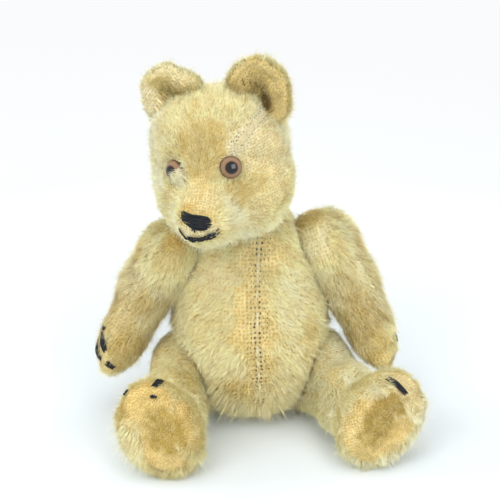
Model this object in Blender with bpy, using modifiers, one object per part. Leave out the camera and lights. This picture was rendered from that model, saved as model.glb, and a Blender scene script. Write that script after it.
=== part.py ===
"""Small jointed mohair teddy bear, seated, about 118 mm high.

Each sewn cover is a cloth shell over its own stuffing. Head, arms and legs are
held to the torso by pairs of hardboard discs, washers and a split pin, and turn
on those pins. The bear faces -Y, its left side is +X, and it sits on z = 0 with
the middle of its seat at the origin. Metres, built for Blender 4.5.
"""
from math import cos, pi, radians, sin

import bmesh
import bpy
import numpy as np
from mathutils import Matrix, Vector

MM = 0.001

# Cloth and clearances.
CLOTH = 1.2 * MM            # woven backing with the root of its pile
GAP = 0.3 * MM              # left between pieces that touch
STUFFING_GAP = 1.0 * MM     # from a cover's inner face to its stuffing
TORSO_FILL_GAP = 1.9 * MM   # the same in the torso, which the limbs press in
SOFTNESS = 1.3 * MM         # rounding where a flat side meets a rounded one

# Torso, with its seat on the floor.
BELLY = ((0.0, -2.0, 26.0), (23.8, 21.5, 27.8))
CHEST = ((0.0, 0.5, 46.5), (20.5, 16.5, 24.0))
TORSO_BLEND = 9.0
TORSO_CORE = ((0.0, -1.0, 20.0), (0.0, -1.0, 44.0))

# Joint centres lie on the plane where two covers meet.
NECK_POINT = (-3.4, -1.0, 66.0)
NECK_LEAN = 12.0            # degrees towards the bear's right
NECK_NOD = 3.0              # degrees forward
HEAD_TURN = -19.0           # degrees, the face turned to the bear's right
SHOULDER_POINT = {"left": (16.5, 0.5, 52.5), "right": (17.7, 0.5, 50.0)}
SHOULDER_REACH = 17.0       # mm around the joint that the arm presses flat
SHOULDER_TILT = {"left": 24.5, "right": 27.0}   # degrees that a hanging arm stands out
HIP_POINT = {"left": (13.2, -5.4, 14.2), "right": (13.2, -4.2, 14.2)}
HIP_REACH = 16.0
PRESS_EDGE = 2.6 * MM       # rounding where the body swells round a limb
HIP_TILT = 10.0             # degrees that the toes lean out
HIP_SPLAY = {"left": 22.0, "right": 9.0}       # degrees that a leg points out
SIDES = {"left": 1.0, "right": -1.0}
ARM_SWING = {"left": 12.0, "right": 6.0}        # degrees forward of hanging
TOE_TWIST = {"left": 30.0, "right": 16.0}        # degrees more than the hip gives

# Soft forms as overlapping ovals: centre and radii in mm. Head: forward, left, up.
SKULL = ((3.5, 0.0, 19.0), (21.0, 20.5, 23.0))
CHEEK = ((8.0, 8.0, 12.0), (13.0, 13.0, 12.0))
MUZZLE = ((22.0, 0.0, 13.0), (14.5, 9.5, 8.8))
HEAD_BLEND = 6.0
HEAD_CORE = ((3.0, 0.0, 19.0), (14.0, 0.0, 15.0))
# Limbs: along the limb, to its front or toe, and outward from the joint.
ARM_OVALS = (
    ((1.0, 0.0, 6.0), (10.0, 10.4, 9.8)),
    ((14.0, 0.0, 8.0), (13.5, 9.0, 8.4)),
    ((31.0, 1.0, 8.5), (13.5, 7.0, 6.6)),
)
ARM_BLEND = 5.0
ARM_CORE = ((2.0, 0.0, 6.5), (34.0, 1.0, 9.0))
LEG_OVALS = (
    ((2.0, 0.0, 6.4), (14.0, 13.4, 11.3)),
    ((22.0, -1.0, 8.2), (18.0, 10.8, 10.2)),
)
FOOT_OVAL = ((40.0, 1.8, 9.0), (10.5, 14.8, 11.6))
SOLE = 48.0                 # mm from the hip to the sole
SOLE_HOLLOW = 26.0          # radius of the sunken middle of the sole
SOLE_SUNK = 1.5
LEG_BLEND = 5.0
LEG_CORE = ((4.0, 0.0, 7.5), (39.0, 1.5, 8.6))

# Ears: a cupped half round on each upper corner of the head.
EAR_ANGLE = {"left": 37.0, "right": 24.0}       # degrees from the crown
EAR_ROOT = 4.0              # mm from the head up to the ear's widest line
EAR_RADII = {"left": (11.2, 11.8, 2.0), "right": (10.3, 10.5, 2.0)}     # wide, high, thick
EAR_CUP = 4.5               # mm that its two sides come forward
EAR_CURL = 1.5              # mm that its top comes forward
EAR_BACK = 2.5              # mm that it stands behind the skull's middle
EAR_SEAT = 1.3 * GAP        # left under its root
EAR_DROOP = 0.6             # how much less its top follows the head's curve

# Eyes, nose, mouth and claws.
EYE_RADIUS = 3.35 * MM
EYE_DOME = 2.3 * MM
EYE_EDGE = 0.5 * MM
EYE_AIM = (1.0, 0.50, 0.38)         # forward, left, up from the skull's middle
SOCKET_RADIUS = 12.0
SOCKET_DEPTH = {"left": 0.8, "right": 1.9}
EYE_SEAT = 0.5 * MM         # the socket's hollow under the eye's flat back
EYE_WIRE = 0.3 * MM
EYE_LOOP = (0.55 * MM, 4.2 * MM)    # half width and depth of the wire behind it
EYE_HOLE = 1.3 * MM
THREAD = 0.5 * MM
NOSE_UP = 16.2              # mm above the neck, the middle of the nose
NOSE_HALF = (4.4, 1.6)      # half its width and half its height
NOSE_TAPER = 0.8            # how much narrower its middle is than its top
NOSE_SLANT = 1.2            # how much lower it is to the bear's left
NOSE_PAD = 0.8 * MM
MOUTH_UP = 11.0
MOUTH_HALF = 5.0
MOUTH_SMILE = 1.8           # mm that its corners rise

# Surviving claw stitches: from and to, as directions seen from the middle of the
# paw or toe (along the limb, to its front or toe, outward).
ARM_CLAWS = {
    "right": (((-0.45, 0.15, 1.0), (-0.3, 0.15, 1.0)),
              ((-0.15, 0.4, 1.0), (0.6, 1.0, 0.66)),
              ((0.33, -0.15, 1.0), (1.3, 0.45, 0.7)),
              ((1.3, 0.9, 0.4), (1.3, 0.95, -0.1))),
    "left": (((0.5, -0.1, 1.0), (0.8, -0.1, 0.9)),),
}
LEG_CLAWS = {
    "right": (((-0.15, 1.0, 1.0), (0.0, 1.0, 1.0)),
              ((-0.15, 1.0, -0.3), (0.25, 1.0, -0.1)),
              ((0.55, 1.0, -0.15), (0.68, 1.0, -0.15))),
    "left": (((0.3, 1.0, -0.14), (1.08, 1.0, 0.34)),),
}
PAW_MIDDLE = (34.0, 1.0, 8.5)
TOE_MIDDLE = (40.0, 6.0, 9.5)

# Joint hardware, measured from the plane between the covers.
PIN_WIRE = 0.5 * MM
PIN_SPREAD = 0.65 * MM      # from the pin's axis to the middle of each leg
PIN_HOLE = 1.6 * MM
PIN_EYE = 1.6 * MM          # radius of the eye, to the middle of its wire
PIN_CURL = 1.1 * MM         # radius of each leg's bent end
PIN_REACH = 1.5 * MM        # how far each leg runs out before it curls
PIN_ROOM = (4.2 * MM, 4.4 * MM)     # radius and height left in the stuffing
DISC_ROOM = 0.5 * MM        # left round a disc in the stuffing
DISC_THICK = 1.5 * MM
WASHER_THICK = 0.5 * MM
WASHER_RADIUS = 4.0 * MM
DISC_RADIUS = {"neck": 6.1 * MM, "shoulder": 4.7 * MM, "hip": 5.0 * MM}
TURN_STEPS = 16             # sides of everything round
FACE_AT = GAP / 2
DISC_AT = FACE_AT + CLOTH + GAP
WASHER_AT = DISC_AT + DISC_THICK + GAP
PIN_END_AT = WASHER_AT + WASHER_THICK + GAP

COLOURS = {
    "pile": ((0.62, 0.50, 0.27), 0.95, 0.0),
    "stuffing": ((0.55, 0.42, 0.22), 1.0, 0.0),
    "glass": ((0.16, 0.05, 0.02), 0.08, 0.0),
    "thread": ((0.012, 0.012, 0.013), 0.8, 0.0),
    "hardboard": ((0.20, 0.11, 0.05), 0.8, 0.0),
    "steel": ((0.45, 0.45, 0.44), 0.4, 1.0),
}


WORLD = (np.zeros(3), np.eye(3))


# ---------------------------------------------------------------- frames

def unit(vector):
    """The same direction at length one."""
    vector = np.asarray(vector, dtype=float)
    return vector / np.linalg.norm(vector)


def rows(*vectors):
    """A frame's axes as the rows of a matrix."""
    return np.array([unit(v) for v in vectors])


def head_frame():
    """Forward, left and up of the head, from the neck's centre."""
    lean, nod, turn = radians(NECK_LEAN), radians(NECK_NOD), radians(HEAD_TURN)
    up = unit((-sin(lean), -sin(nod), cos(lean) * cos(nod)))
    ahead = np.array((sin(turn), -cos(turn), 0.0))
    ahead = unit(ahead - up * ahead.dot(up))
    left = np.cross(up, ahead)
    return np.array(NECK_POINT) * MM, rows(ahead, left, up)


def shoulder_frame(side):
    """Along the arm, to its front and outward, from the shoulder's centre."""
    sign, tilt, swing = SIDES[side], radians(SHOULDER_TILT[side]), radians(ARM_SWING[side])
    outward = np.array((sign * cos(tilt), 0.0, sin(tilt)))
    hang = np.array((sign * sin(tilt), 0.0, -cos(tilt)))
    front = np.array((0.0, -1.0, 0.0))
    along = hang * cos(swing) + front * sin(swing)
    before = front * cos(swing) - hang * sin(swing)
    place = np.array((sign, 1.0, 1.0)) * SHOULDER_POINT[side] * MM
    return place, rows(along, before, outward)


def hip_frame(side):
    """Along the leg, towards the toe and outward, from the hip's centre."""
    sign, tilt, splay = SIDES[side], radians(HIP_TILT), radians(HIP_SPLAY[side])
    outward = (sign * cos(tilt) * cos(splay), cos(tilt) * sin(splay), -sin(tilt))
    along = (sign * sin(splay), -cos(splay), 0.0)
    toe = (sign * sin(tilt) * cos(splay), sin(tilt) * sin(splay), cos(tilt))
    place = np.array((sign, 1.0, 1.0)) * HIP_POINT[side] * MM
    return place, rows(along, toe, outward)


def to_frame(points, frame):
    place, axes = frame
    return (points - place) @ axes.T


def from_frame(points, frame):
    place, axes = frame
    return np.asarray(points) @ axes + place


# ---------------------------------------------------------------- soft forms

def oval(points, form):
    """Nearly the distance to an oval, negative inside it."""
    centre, radii = np.array(form[0]) * MM, np.array(form[1]) * MM
    scaled = (points - centre) / radii
    reach = np.linalg.norm(scaled, axis=1) + 1e-12
    slope = np.linalg.norm(scaled / radii, axis=1) + 1e-12
    return reach * (reach - 1.0) / slope


def blended(first, second, width):
    """The smaller of two distances, with the join rounded over a width."""
    mix = np.clip(0.5 + 0.5 * (second - first) / width, 0.0, 1.0)
    return second * (1.0 - mix) + first * mix - width * mix * (1.0 - mix)


def trimmed(field, cut):
    """What a field leaves where a cut is positive, with a soft edge."""
    return -blended(-field, -cut, SOFTNESS)


def pressed(field, points, frame, reach):
    """A body pressed flat by a limb, as far as the limb reaches round its joint."""
    local = to_frame(points, frame)
    beyond = local[:, 2] + FACE_AT
    around = reach * MM - np.hypot(local[:, 0], local[:, 1])
    return trimmed(field, blended(beyond, around, PRESS_EDGE))


def floor_cut(points):
    return -points[:, 2]


def torso_field(points):
    width = TORSO_BLEND * MM
    field = blended(oval(points, BELLY), oval(points, CHEST), width)
    field = trimmed(field, to_frame(points, head_frame())[:, 2] + FACE_AT)
    for side in SIDES:
        field = pressed(field, points, shoulder_frame(side), SHOULDER_REACH)
        field = pressed(field, points, hip_frame(side), HIP_REACH)
    return trimmed(field, floor_cut(points))


def eye_direction(side):
    ahead, left, up = EYE_AIM
    return unit((ahead, left * SIDES[side], up))


def head_field(points):
    local = to_frame(points, head_frame())
    folded = local * (1.0, 0.0, 1.0) + np.abs(local) * (0.0, 1.0, 0.0)
    width = HEAD_BLEND * MM
    field = blended(oval(local, SKULL), oval(folded, CHEEK), width)
    field = blended(field, oval(local, MUZZLE), width)
    for side, depth in SOCKET_DEPTH.items():
        reach = eye_reach(side) + (SOCKET_RADIUS - depth) * MM
        centre = np.array(SKULL[0]) * MM + eye_direction(side) * reach
        socket = np.linalg.norm(local - centre, axis=1) - SOCKET_RADIUS * MM
        field = -blended(-field, socket, SOFTNESS)
    return trimmed(field, FACE_AT - local[:, 2])


def eye_reach(side):
    """From the skull's middle to its surface, towards an eye."""
    return MM / np.linalg.norm(eye_direction(side) / np.array(SKULL[1]))


def arm_field(points, side):
    local = to_frame(points, shoulder_frame(side))
    field = oval(local, ARM_OVALS[0])
    for form in ARM_OVALS[1:]:
        field = blended(field, oval(local, form), ARM_BLEND * MM)
    return trimmed(field, FACE_AT - local[:, 2])


def foot_points(local, side):
    """Limb coordinates turned back about the leg by the foot's own twist."""
    twist = radians(TOE_TWIST[side])
    centre = np.array(FOOT_OVAL[0]) * MM
    toe, out = (local[:, 1] - centre[1]), (local[:, 2] - centre[2])
    turned = np.copy(local)
    turned[:, 1] = centre[1] + toe * cos(twist) + out * sin(twist)
    turned[:, 2] = centre[2] - toe * sin(twist) + out * cos(twist)
    return turned


def leg_field(points, side):
    local = to_frame(points, hip_frame(side))
    field = blended(oval(local, LEG_OVALS[0]), oval(local, LEG_OVALS[1]), LEG_BLEND * MM)
    field = trimmed(field, FACE_AT - local[:, 2])
    field = blended(field, oval(foot_points(local, side), FOOT_OVAL), LEG_BLEND * MM)
    field = trimmed(field, local[:, 0] - SOLE * MM)
    hollow = np.array((SOLE + SOLE_HOLLOW - SOLE_SUNK, *FOOT_OVAL[0][1:])) * MM
    field = trimmed(field, SOLE_HOLLOW * MM - np.linalg.norm(local - hollow, axis=1))
    return trimmed(field, floor_cut(points))


def surface_along(field, starts, directions, level=0.0):
    """Where rays from inside a form meet the surface at a given level."""
    near = np.zeros(len(starts))
    far = np.full(len(starts), 60.0 * MM)
    for _ in range(36):
        middle = (near + far) / 2
        inside = field(starts + directions * middle[:, None]) < level
        near = np.where(inside, middle, near)
        far = np.where(inside, far, middle)
    return starts + directions * near[:, None]


def outward_at(field, points):
    """Unit normals of a form near its surface."""
    step = 0.05 * MM
    slopes = [(field(points + step * axis) - field(points - step * axis))
              for axis in np.eye(3)]
    normals = np.array(slopes).T
    return normals / np.linalg.norm(normals, axis=1)[:, None]


# ---------------------------------------------------------------- scene set-up

def clear_scene():
    for thing in list(bpy.data.objects):
        bpy.data.objects.remove(thing, do_unlink=True)


def new_collection(name):
    group = bpy.data.collections.new(name)
    bpy.context.scene.collection.children.link(group)
    return group


def new_material(kind):
    colour, roughness, metallic = COLOURS[kind]
    material = bpy.data.materials.new(kind)
    material.use_nodes = True
    shader = material.node_tree.nodes["Principled BSDF"]
    shader.inputs["Base Color"].default_value = (*colour, 1.0)
    shader.inputs["Roughness"].default_value = roughness
    shader.inputs["Metallic"].default_value = metallic
    return material


class Workshop:
    """The collections, materials and joint empties that the pieces share."""

    def __init__(self):
        clear_scene()
        self.parts = new_collection("teddy_bear")
        self.cutters = new_collection("cutters")
        self.root = self.empty("bear", (0.0, 0.0, 0.0), None)

    def empty(self, name, place, parent):
        mark = bpy.data.objects.new(name, None)
        mark.location = place
        mark.empty_display_size = 5 * MM
        self.parts.objects.link(mark)
        if parent:
            self.attach(mark, parent, Matrix.Translation(Vector(place)))
        return mark

    @staticmethod
    def attach(thing, parent, world=Matrix.Identity(4)):
        bpy.context.view_layer.update()
        thing.parent = parent
        thing.matrix_parent_inverse = parent.matrix_world.inverted()
        thing.matrix_basis = world

    def piece(self, name, data, kind, parent, world=Matrix.Identity(4)):
        thing = bpy.data.objects.new(name, data)
        data.materials.append(new_material(kind))
        self.parts.objects.link(thing)
        self.attach(thing, parent, world)
        return thing

    def cutter(self, name, data, world=Matrix.Identity(4)):
        thing = bpy.data.objects.new(name, data)
        thing.matrix_world = world
        thing.hide_render = True
        thing.display_type = "WIRE"
        self.cutters.objects.link(thing)
        return thing


def cut(thing, tool):
    """Take one closed tool away from a piece."""
    boolean = thing.modifiers.new("cut", "BOOLEAN")
    boolean.operation = "DIFFERENCE"
    boolean.solver = "EXACT"
    boolean.object = tool


def finished(name, shape):
    """A mesh from a bmesh, shaded smooth but for its sharp edges."""
    if shape.calc_volume(signed=True) < 0.0:
        bmesh.ops.reverse_faces(shape, faces=shape.faces)
    data = bpy.data.meshes.new(name)
    shape.to_mesh(data)
    shape.free()
    data.shade_smooth()
    data.set_sharp_from_angle(angle=radians(40.0))
    return data


# ---------------------------------------------------------------- building blocks

def round_cube(cuts):
    """A cube cut into a grid and blown up to a unit ball."""
    shape = bmesh.new()
    bmesh.ops.create_cube(shape, size=2.0)
    bmesh.ops.subdivide_edges(shape, edges=shape.edges, cuts=cuts, use_grid_fill=True)
    for vertex in shape.verts:
        vertex.co = Vector([sin(c * pi / 4) / cos(c * pi / 4) for c in vertex.co])
        vertex.co.normalize()
    return shape


def soft_form(name, field, core, frame, cuts, level=0.0):
    """A ball drawn out along a core and settled on a field's surface."""
    shape = round_cube(cuts)
    start, end = (from_frame(np.array([c]) * MM, frame)[0] for c in core)
    reach = np.linalg.norm(end - start)
    axis = (end - start) / reach
    balls = np.array([v.co for v in shape.verts])
    balls = balls @ ball_axes(axis)
    share = 0.5 + 0.5 * np.clip(balls @ axis, -1.0, 1.0)
    starts = start + (end - start) * share[:, None]
    settled = surface_along(field, starts, balls, level)
    settled[np.abs(settled[:, 2]) < 1e-6, 2] = 0.0
    for vertex, place in zip(shape.verts, settled):
        vertex.co = place
    return finished(name, shape)


def ball_axes(axis):
    """Axes that set a ball's third direction along an axis."""
    helper = (1.0, 0.0, 0.0) if abs(axis[0]) < 0.7 else (0.0, 1.0, 0.0)
    first = unit(np.cross(helper, axis))
    return np.array([first, np.cross(axis, first), axis])


def add_cover(shop, name, field, core, frame, cuts, parent):
    """A sewn cover: one closed skin thickened inward."""
    thing = shop.piece(name, soft_form(name, field, core, frame, cuts), "pile", parent)
    wall = thing.modifiers.new("cloth", "SOLIDIFY")
    wall.thickness = CLOTH
    wall.offset = -1.0
    wall.use_even_offset = True
    return thing


def add_stuffing(shop, name, field, core, frame, cuts, parent, gap=STUFFING_GAP):
    data = soft_form(name, field, core, frame, cuts, -(CLOTH + gap))
    return shop.piece(name, data, "stuffing", parent)


def along_axis(frame, sign=1.0):
    """A matrix whose Z runs outward along a joint's axis, or inward."""
    place, axes = frame
    across, up = axes[0], axes[2] * sign
    side = np.cross(up, across)
    matrix = Matrix.Identity(4)
    for column, vector in enumerate((across, side, up)):
        for row in range(3):
            matrix[row][column] = vector[row]
    matrix.translation = Vector(place)
    return matrix


def rod(radius, low, high, segments=TURN_STEPS):
    """A solid round bar between two heights."""
    shape = bmesh.new()
    lift = Matrix.Translation((0.0, 0.0, (low + high) / 2))
    bmesh.ops.create_cone(shape, cap_ends=True, segments=segments, radius1=radius,
                          radius2=radius, depth=high - low, matrix=lift)
    return finished("rod", shape)


def ring(name, hole, outside, low, high):
    """A flat ring, as a turned profile that a Screw modifier sweeps."""
    shape = bmesh.new()
    corners = [(outside, high), (outside, low), (hole, low), (hole, high)]
    verts = [shape.verts.new((x, 0.0, z)) for x, z in corners]
    for first, second in zip(verts, verts[1:] + verts[:1]):
        shape.edges.new((first, second))
    data = bpy.data.meshes.new(name)
    shape.to_mesh(data)
    shape.free()
    return data


def turn(thing):
    screw = thing.modifiers.new("turned", "SCREW")
    screw.steps = TURN_STEPS
    screw.render_steps = TURN_STEPS
    screw.use_merge_vertices = True
    screw.merge_threshold = 0.00001
    screw.use_smooth_shade = True


def wire(name, places, radius, taper=None):
    """A round wire through a list of places."""
    data = bpy.data.curves.new(name, "CURVE")
    data.dimensions = "3D"
    data.bevel_depth = radius
    data.bevel_resolution = 1
    data.use_fill_caps = True
    line = data.splines.new("POLY")
    line.points.add(len(places) - 1)
    for index, place in enumerate(places):
        line.points[index].co = (*place, 1.0)
        if taper:
            line.points[index].radius = taper[index]
    return data


# ---------------------------------------------------------------- joints

def pin_path():
    """Half a split pin: a curled end, one leg and half of the eye at its head."""
    bend = -(PIN_END_AT + PIN_WIRE)
    flat = PIN_SPREAD + PIN_REACH
    path = []
    for step in range(5):
        angle = radians(-90.0 + 45.0 * (4 - step))
        path.append((flat + PIN_CURL * cos(angle), bend - PIN_CURL * (1.0 + sin(angle))))
    path.append((PIN_SPREAD + PIN_WIRE, bend))
    path.append((PIN_SPREAD, bend + PIN_WIRE))
    path.append((PIN_SPREAD, PIN_END_AT))
    centre = PIN_END_AT + PIN_WIRE + PIN_EYE * 0.85
    for step in range(5):
        angle = radians(-55.0 + 36.25 * step)
        path.append((PIN_EYE * cos(angle), centre + PIN_EYE * sin(angle)))
    return path


def add_pin(shop, name, frame, parent):
    half = pin_path()
    whole = [(x, 0.0, z) for x, z in half[:-1]]
    whole += [(-x, 0.0, z) for x, z in reversed(half)]
    data = wire(name, whole, PIN_WIRE)
    return shop.piece(name, data, "steel", parent, along_axis(frame))


def add_joint(shop, joint, label, frame, inner_parent, outer_parent, covers, fillings):
    """Discs, washers and split pin, and the room that they need."""
    radius = DISC_RADIUS[joint]
    ends = (("torso", inner_parent, -1.0), ("limb", outer_parent, 1.0))
    for index, (end, parent, sign) in enumerate(ends):
        place = along_axis(frame, sign)
        names = [f"{label}_{part}_{end}_side" for part in ("disc", "washer")]
        disc = ring(names[0], PIN_HOLE, radius, DISC_AT, DISC_AT + DISC_THICK)
        turn(shop.piece(names[0], disc, "hardboard", parent, place))
        top = WASHER_AT + WASHER_THICK
        washer = ring(names[1], PIN_HOLE, WASHER_RADIUS, WASHER_AT, top)
        turn(shop.piece(names[1], washer, "steel", parent, place))
        hole = rod(PIN_HOLE, -CLOTH, DISC_AT + DISC_THICK)
        cut(covers[index], shop.cutter(f"{label}_{end}_hole", hole, place))
        room = rod(radius + DISC_ROOM, -CLOTH, top + GAP)
        cut(fillings[index], shop.cutter(f"{label}_{end}_room", room, place))
        nook = rod(PIN_ROOM[0], 0.0, PIN_END_AT + PIN_ROOM[1])
        cut(fillings[index], shop.cutter(f"{label}_{end}_nook", nook, place))
    add_pin(shop, f"{label}_split_pin", frame, outer_parent)


# ---------------------------------------------------------------- head details

def eye_place(side):
    """Matrix of an eye: its back on the socket's floor, Z out of the face."""
    frame = head_frame()
    centre = from_frame(np.array([SKULL[0]]) * MM, frame)
    aim = eye_direction(side) @ frame[1]
    point = surface_along(head_field, centre, aim[None, :])
    place = point[0] + aim * (GAP + EYE_SEAT)
    helper = unit(np.cross(frame[1][2], aim))
    matrix = Matrix.Identity(4)
    for column, vector in enumerate((helper, np.cross(aim, helper), aim)):
        for row in range(3):
            matrix[row][column] = vector[row]
    matrix.translation = Vector(place)
    return matrix


def eye_profile(name):
    """Half outline of a glass eye: domed front, thin edge and flat back."""
    shape = bmesh.new()
    points = []
    for step in range(7):
        angle = pi / 2 * (1 - step / 6)
        points.append((EYE_RADIUS * cos(angle), EYE_EDGE + EYE_DOME * sin(angle)))
    points.append((EYE_RADIUS - 0.2 * MM, 0.0))
    points.append((0.0, 0.0))
    verts = [shape.verts.new((x, 0.0, z)) for x, z in points]
    for first, second in zip(verts, verts[1:]):
        shape.edges.new((first, second))
    data = bpy.data.meshes.new(name)
    shape.to_mesh(data)
    shape.free()
    return data


def add_eye(shop, side, parent, cover, filling):
    place = eye_place(side)
    name = f"eye_{side}"
    turn(shop.piece(name, eye_profile(name), "glass", parent, place))
    half, depth = EYE_LOOP
    top = -2.0 * EYE_WIRE
    loop = [(half, top), (half, half - depth), (half * 0.7, half * 0.3 - depth),
            (0.0, -depth), (-half * 0.7, half * 0.3 - depth), (-half, half - depth),
            (-half, top)]
    data = wire(f"eye_wire_{side}", [(x, 0.0, z) for x, z in loop], EYE_WIRE)
    shop.piece(f"eye_wire_{side}", data, "steel", parent, place)
    hole = rod(EYE_HOLE, -depth - MM, MM, 12)
    tool = shop.cutter(f"eye_{side}_hole", hole, place)
    cut(cover, tool)
    cut(filling, tool)


def on_head(ahead_from, left, up, lift):
    """A place on the face in front of a head coordinate, lifted off the cloth."""
    frame = head_frame()
    start = from_frame(np.array([[ahead_from, left, up]]) * MM, frame)
    place = surface_along(head_field, start, frame[1][0][None, :])
    return (place + outward_at(head_field, place) * lift)[0]


def add_nose(shop, parent):
    """A worn stitched pad, broad at the top, laid on the muzzle's tip."""
    shape = bmesh.new()
    bmesh.ops.create_grid(shape, x_segments=7, y_segments=4, size=1.0)
    for vertex in shape.verts:
        across, rise, _ = vertex.co
        wide, high = NOSE_HALF
        left = (wide - NOSE_TAPER * (1.0 - rise)) * across * (1.0 - 0.18 * rise * rise)
        up = NOSE_UP + high * rise * (1.0 - 0.25 * across * across) - NOSE_SLANT * across
        vertex.co = on_head(MUZZLE[0][0], left, up, GAP)
    data = finished("nose_stitching", shape)
    pad = shop.piece("nose_stitching", data, "thread", parent)
    thick = pad.modifiers.new("thread", "SOLIDIFY")
    thick.thickness = NOSE_PAD
    thick.offset = 1.0


def add_mouth(shop, parent):
    """One thread in a shallow smile under the nose."""
    places = []
    for step in range(13):
        across = -1.0 + step / 6
        up = MOUTH_UP + MOUTH_SMILE * across * across
        left = MOUTH_HALF * across
        places.append(on_head(HEAD_CORE[1][0], left, up, GAP + THREAD))
    data = wire("mouth_stitching", places, THREAD)
    shop.piece("mouth_stitching", data, "thread", parent)


def add_ear(shop, side, parent):
    """A flat oval pad, cupped forward, its root lying along the head."""
    sign, angle = SIDES[side], radians(EAR_ANGLE[side])
    frame = head_frame()
    ahead, left, up = frame[1]
    skull = from_frame(np.array([SKULL[0]]) * MM, frame)[0]
    out = left * sign * sin(angle) + up * cos(angle)
    wide = left * sign * cos(angle) - up * sin(angle)
    wide_r, high_r, thick_r = (r * MM for r in EAR_RADII[side])
    root = EAR_ROOT * MM
    shape = round_cube(4)
    balls = np.array([v.co for v in shape.verts])
    height = np.maximum(balls[:, 1] * high_r, -root)
    share = (height + root) / (high_r + root)
    forward = EAR_CUP * MM * balls[:, 0] ** 2 + EAR_CURL * MM * share ** 2 - EAR_BACK * MM
    slope = 2.0 * EAR_CUP * MM * balls[:, 0] / wide_r
    lean = balls[:, 2] * thick_r / np.hypot(1.0, slope)
    aside = balls[:, 0] * wide_r - lean * slope
    flat = skull + np.outer(aside, wide) + np.outer(forward + lean, ahead)
    outs = np.repeat(out[None, :], len(flat), axis=0)
    on_skull = (surface_along(head_field, flat, outs, EAR_SEAT) - flat) @ out
    crown = (surface_along(head_field, skull[None, :], out[None, :]) - skull)[0] @ out
    rise = crown + (on_skull - crown) * (1.0 - EAR_DROOP * share) + height + root
    for vertex, place in zip(shape.verts, flat + np.outer(rise, out)):
        vertex.co = place
    shop.piece(f"ear_{side}", finished(f"ear_{side}", shape), "pile", parent)


# ---------------------------------------------------------------- claws


def add_claws(shop, kind, side, claws, field, frame, middle, parent):
    for number, (start, end) in enumerate(claws, 1):
        ways = [np.array(start) * (1 - s / 4) + np.array(end) * s / 4 for s in range(5)]
        rays = np.array([unit(w) for w in ways]) @ frame[1]
        starts = np.repeat(from_frame(np.array([middle]) * MM, frame), len(rays), axis=0)
        places = surface_along(field, starts, rays)
        places += outward_at(field, places) * (GAP + THREAD)
        name = f"{kind}_claw_{side}_{number}"
        data = wire(name, places, THREAD, taper=(0.6, 1.0, 1.1, 1.0, 0.6))
        shop.piece(name, data, "thread", parent)


# ---------------------------------------------------------------- the bear

def build():
    shop = Workshop()
    torso = add_cover(shop, "torso_cover", torso_field, TORSO_CORE, WORLD, 8, shop.root)
    filling = add_stuffing(shop, "torso_stuffing", torso_field, TORSO_CORE, WORLD, 5,
                           shop.root, TORSO_FILL_GAP)
    build_head(shop, torso, filling)
    for side in SIDES:
        build_limb(shop, "arm", "shoulder", side, torso, filling)
        build_limb(shop, "leg", "hip", side, torso, filling)


def build_head(shop, torso, filling):
    frame = head_frame()
    head = shop.empty("neck_joint", frame[0], shop.root)
    cover = add_cover(shop, "head_cover", head_field, HEAD_CORE, frame, 7, head)
    padding = add_stuffing(shop, "head_stuffing", head_field, HEAD_CORE, frame, 5, head)
    add_joint(shop, "neck", "neck", frame, shop.root, head, (torso, cover),
              (filling, padding))
    for side in SIDES:
        add_eye(shop, side, head, cover, padding)
        add_ear(shop, side, head)
    add_nose(shop, head)
    add_mouth(shop, head)


def build_limb(shop, limb, joint, side, torso, filling):
    if limb == "arm":
        frame, core, claws, middle = shoulder_frame(side), ARM_CORE, ARM_CLAWS, PAW_MIDDLE
        claw, cuts = "paw", 5
    else:
        frame, core, claws, middle = hip_frame(side), LEG_CORE, LEG_CLAWS, TOE_MIDDLE
        claw, cuts = "foot", 6

    def field(points):
        return arm_field(points, side) if limb == "arm" else leg_field(points, side)

    name = f"{limb}_{side}"
    hinge = shop.empty(f"{joint}_{side}_joint", frame[0], shop.root)
    cover = add_cover(shop, f"{name}_cover", field, core, frame, cuts, hinge)
    padding = add_stuffing(shop, f"{name}_stuffing", field, core, frame, 3, hinge)
    add_joint(shop, joint, f"{joint}_{side}", frame, shop.root, hinge, (torso, cover),
              (filling, padding))
    add_claws(shop, claw, side, claws[side], field, frame, middle, hinge)


build()
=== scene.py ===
"""Small threadbare mohair teddy bear: worn woven skins under a thin pile of strands.

Forms are worked out in millimetres, in the frames of the CAD covers that they stand
for, and become metres when a mesh is made. Each skin carries what its cloth is like
from place to place, and the pile grows on it strand by strand. Left and right are the
bear's own.
"""
from collections import namedtuple
from math import atan, cos, pi, radians, sin

import bpy
import numpy as np
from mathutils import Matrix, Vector
from mathutils.kdtree import KDTree


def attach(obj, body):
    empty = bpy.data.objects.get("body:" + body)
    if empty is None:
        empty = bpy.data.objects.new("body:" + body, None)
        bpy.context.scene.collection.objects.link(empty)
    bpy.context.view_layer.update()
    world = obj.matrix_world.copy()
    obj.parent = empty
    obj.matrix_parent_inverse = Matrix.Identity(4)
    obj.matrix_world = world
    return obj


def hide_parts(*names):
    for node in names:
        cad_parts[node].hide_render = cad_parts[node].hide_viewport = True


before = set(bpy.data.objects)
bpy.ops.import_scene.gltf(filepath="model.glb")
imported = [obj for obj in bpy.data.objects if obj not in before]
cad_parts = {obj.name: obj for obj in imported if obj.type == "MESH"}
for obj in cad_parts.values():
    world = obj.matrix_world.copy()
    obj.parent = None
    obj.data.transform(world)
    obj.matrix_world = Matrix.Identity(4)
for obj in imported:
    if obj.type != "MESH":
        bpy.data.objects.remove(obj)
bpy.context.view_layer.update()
MM = 0.001
SIDES = {"left": 1.0, "right": -1.0}

# ---- sizes, as in the covers

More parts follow.
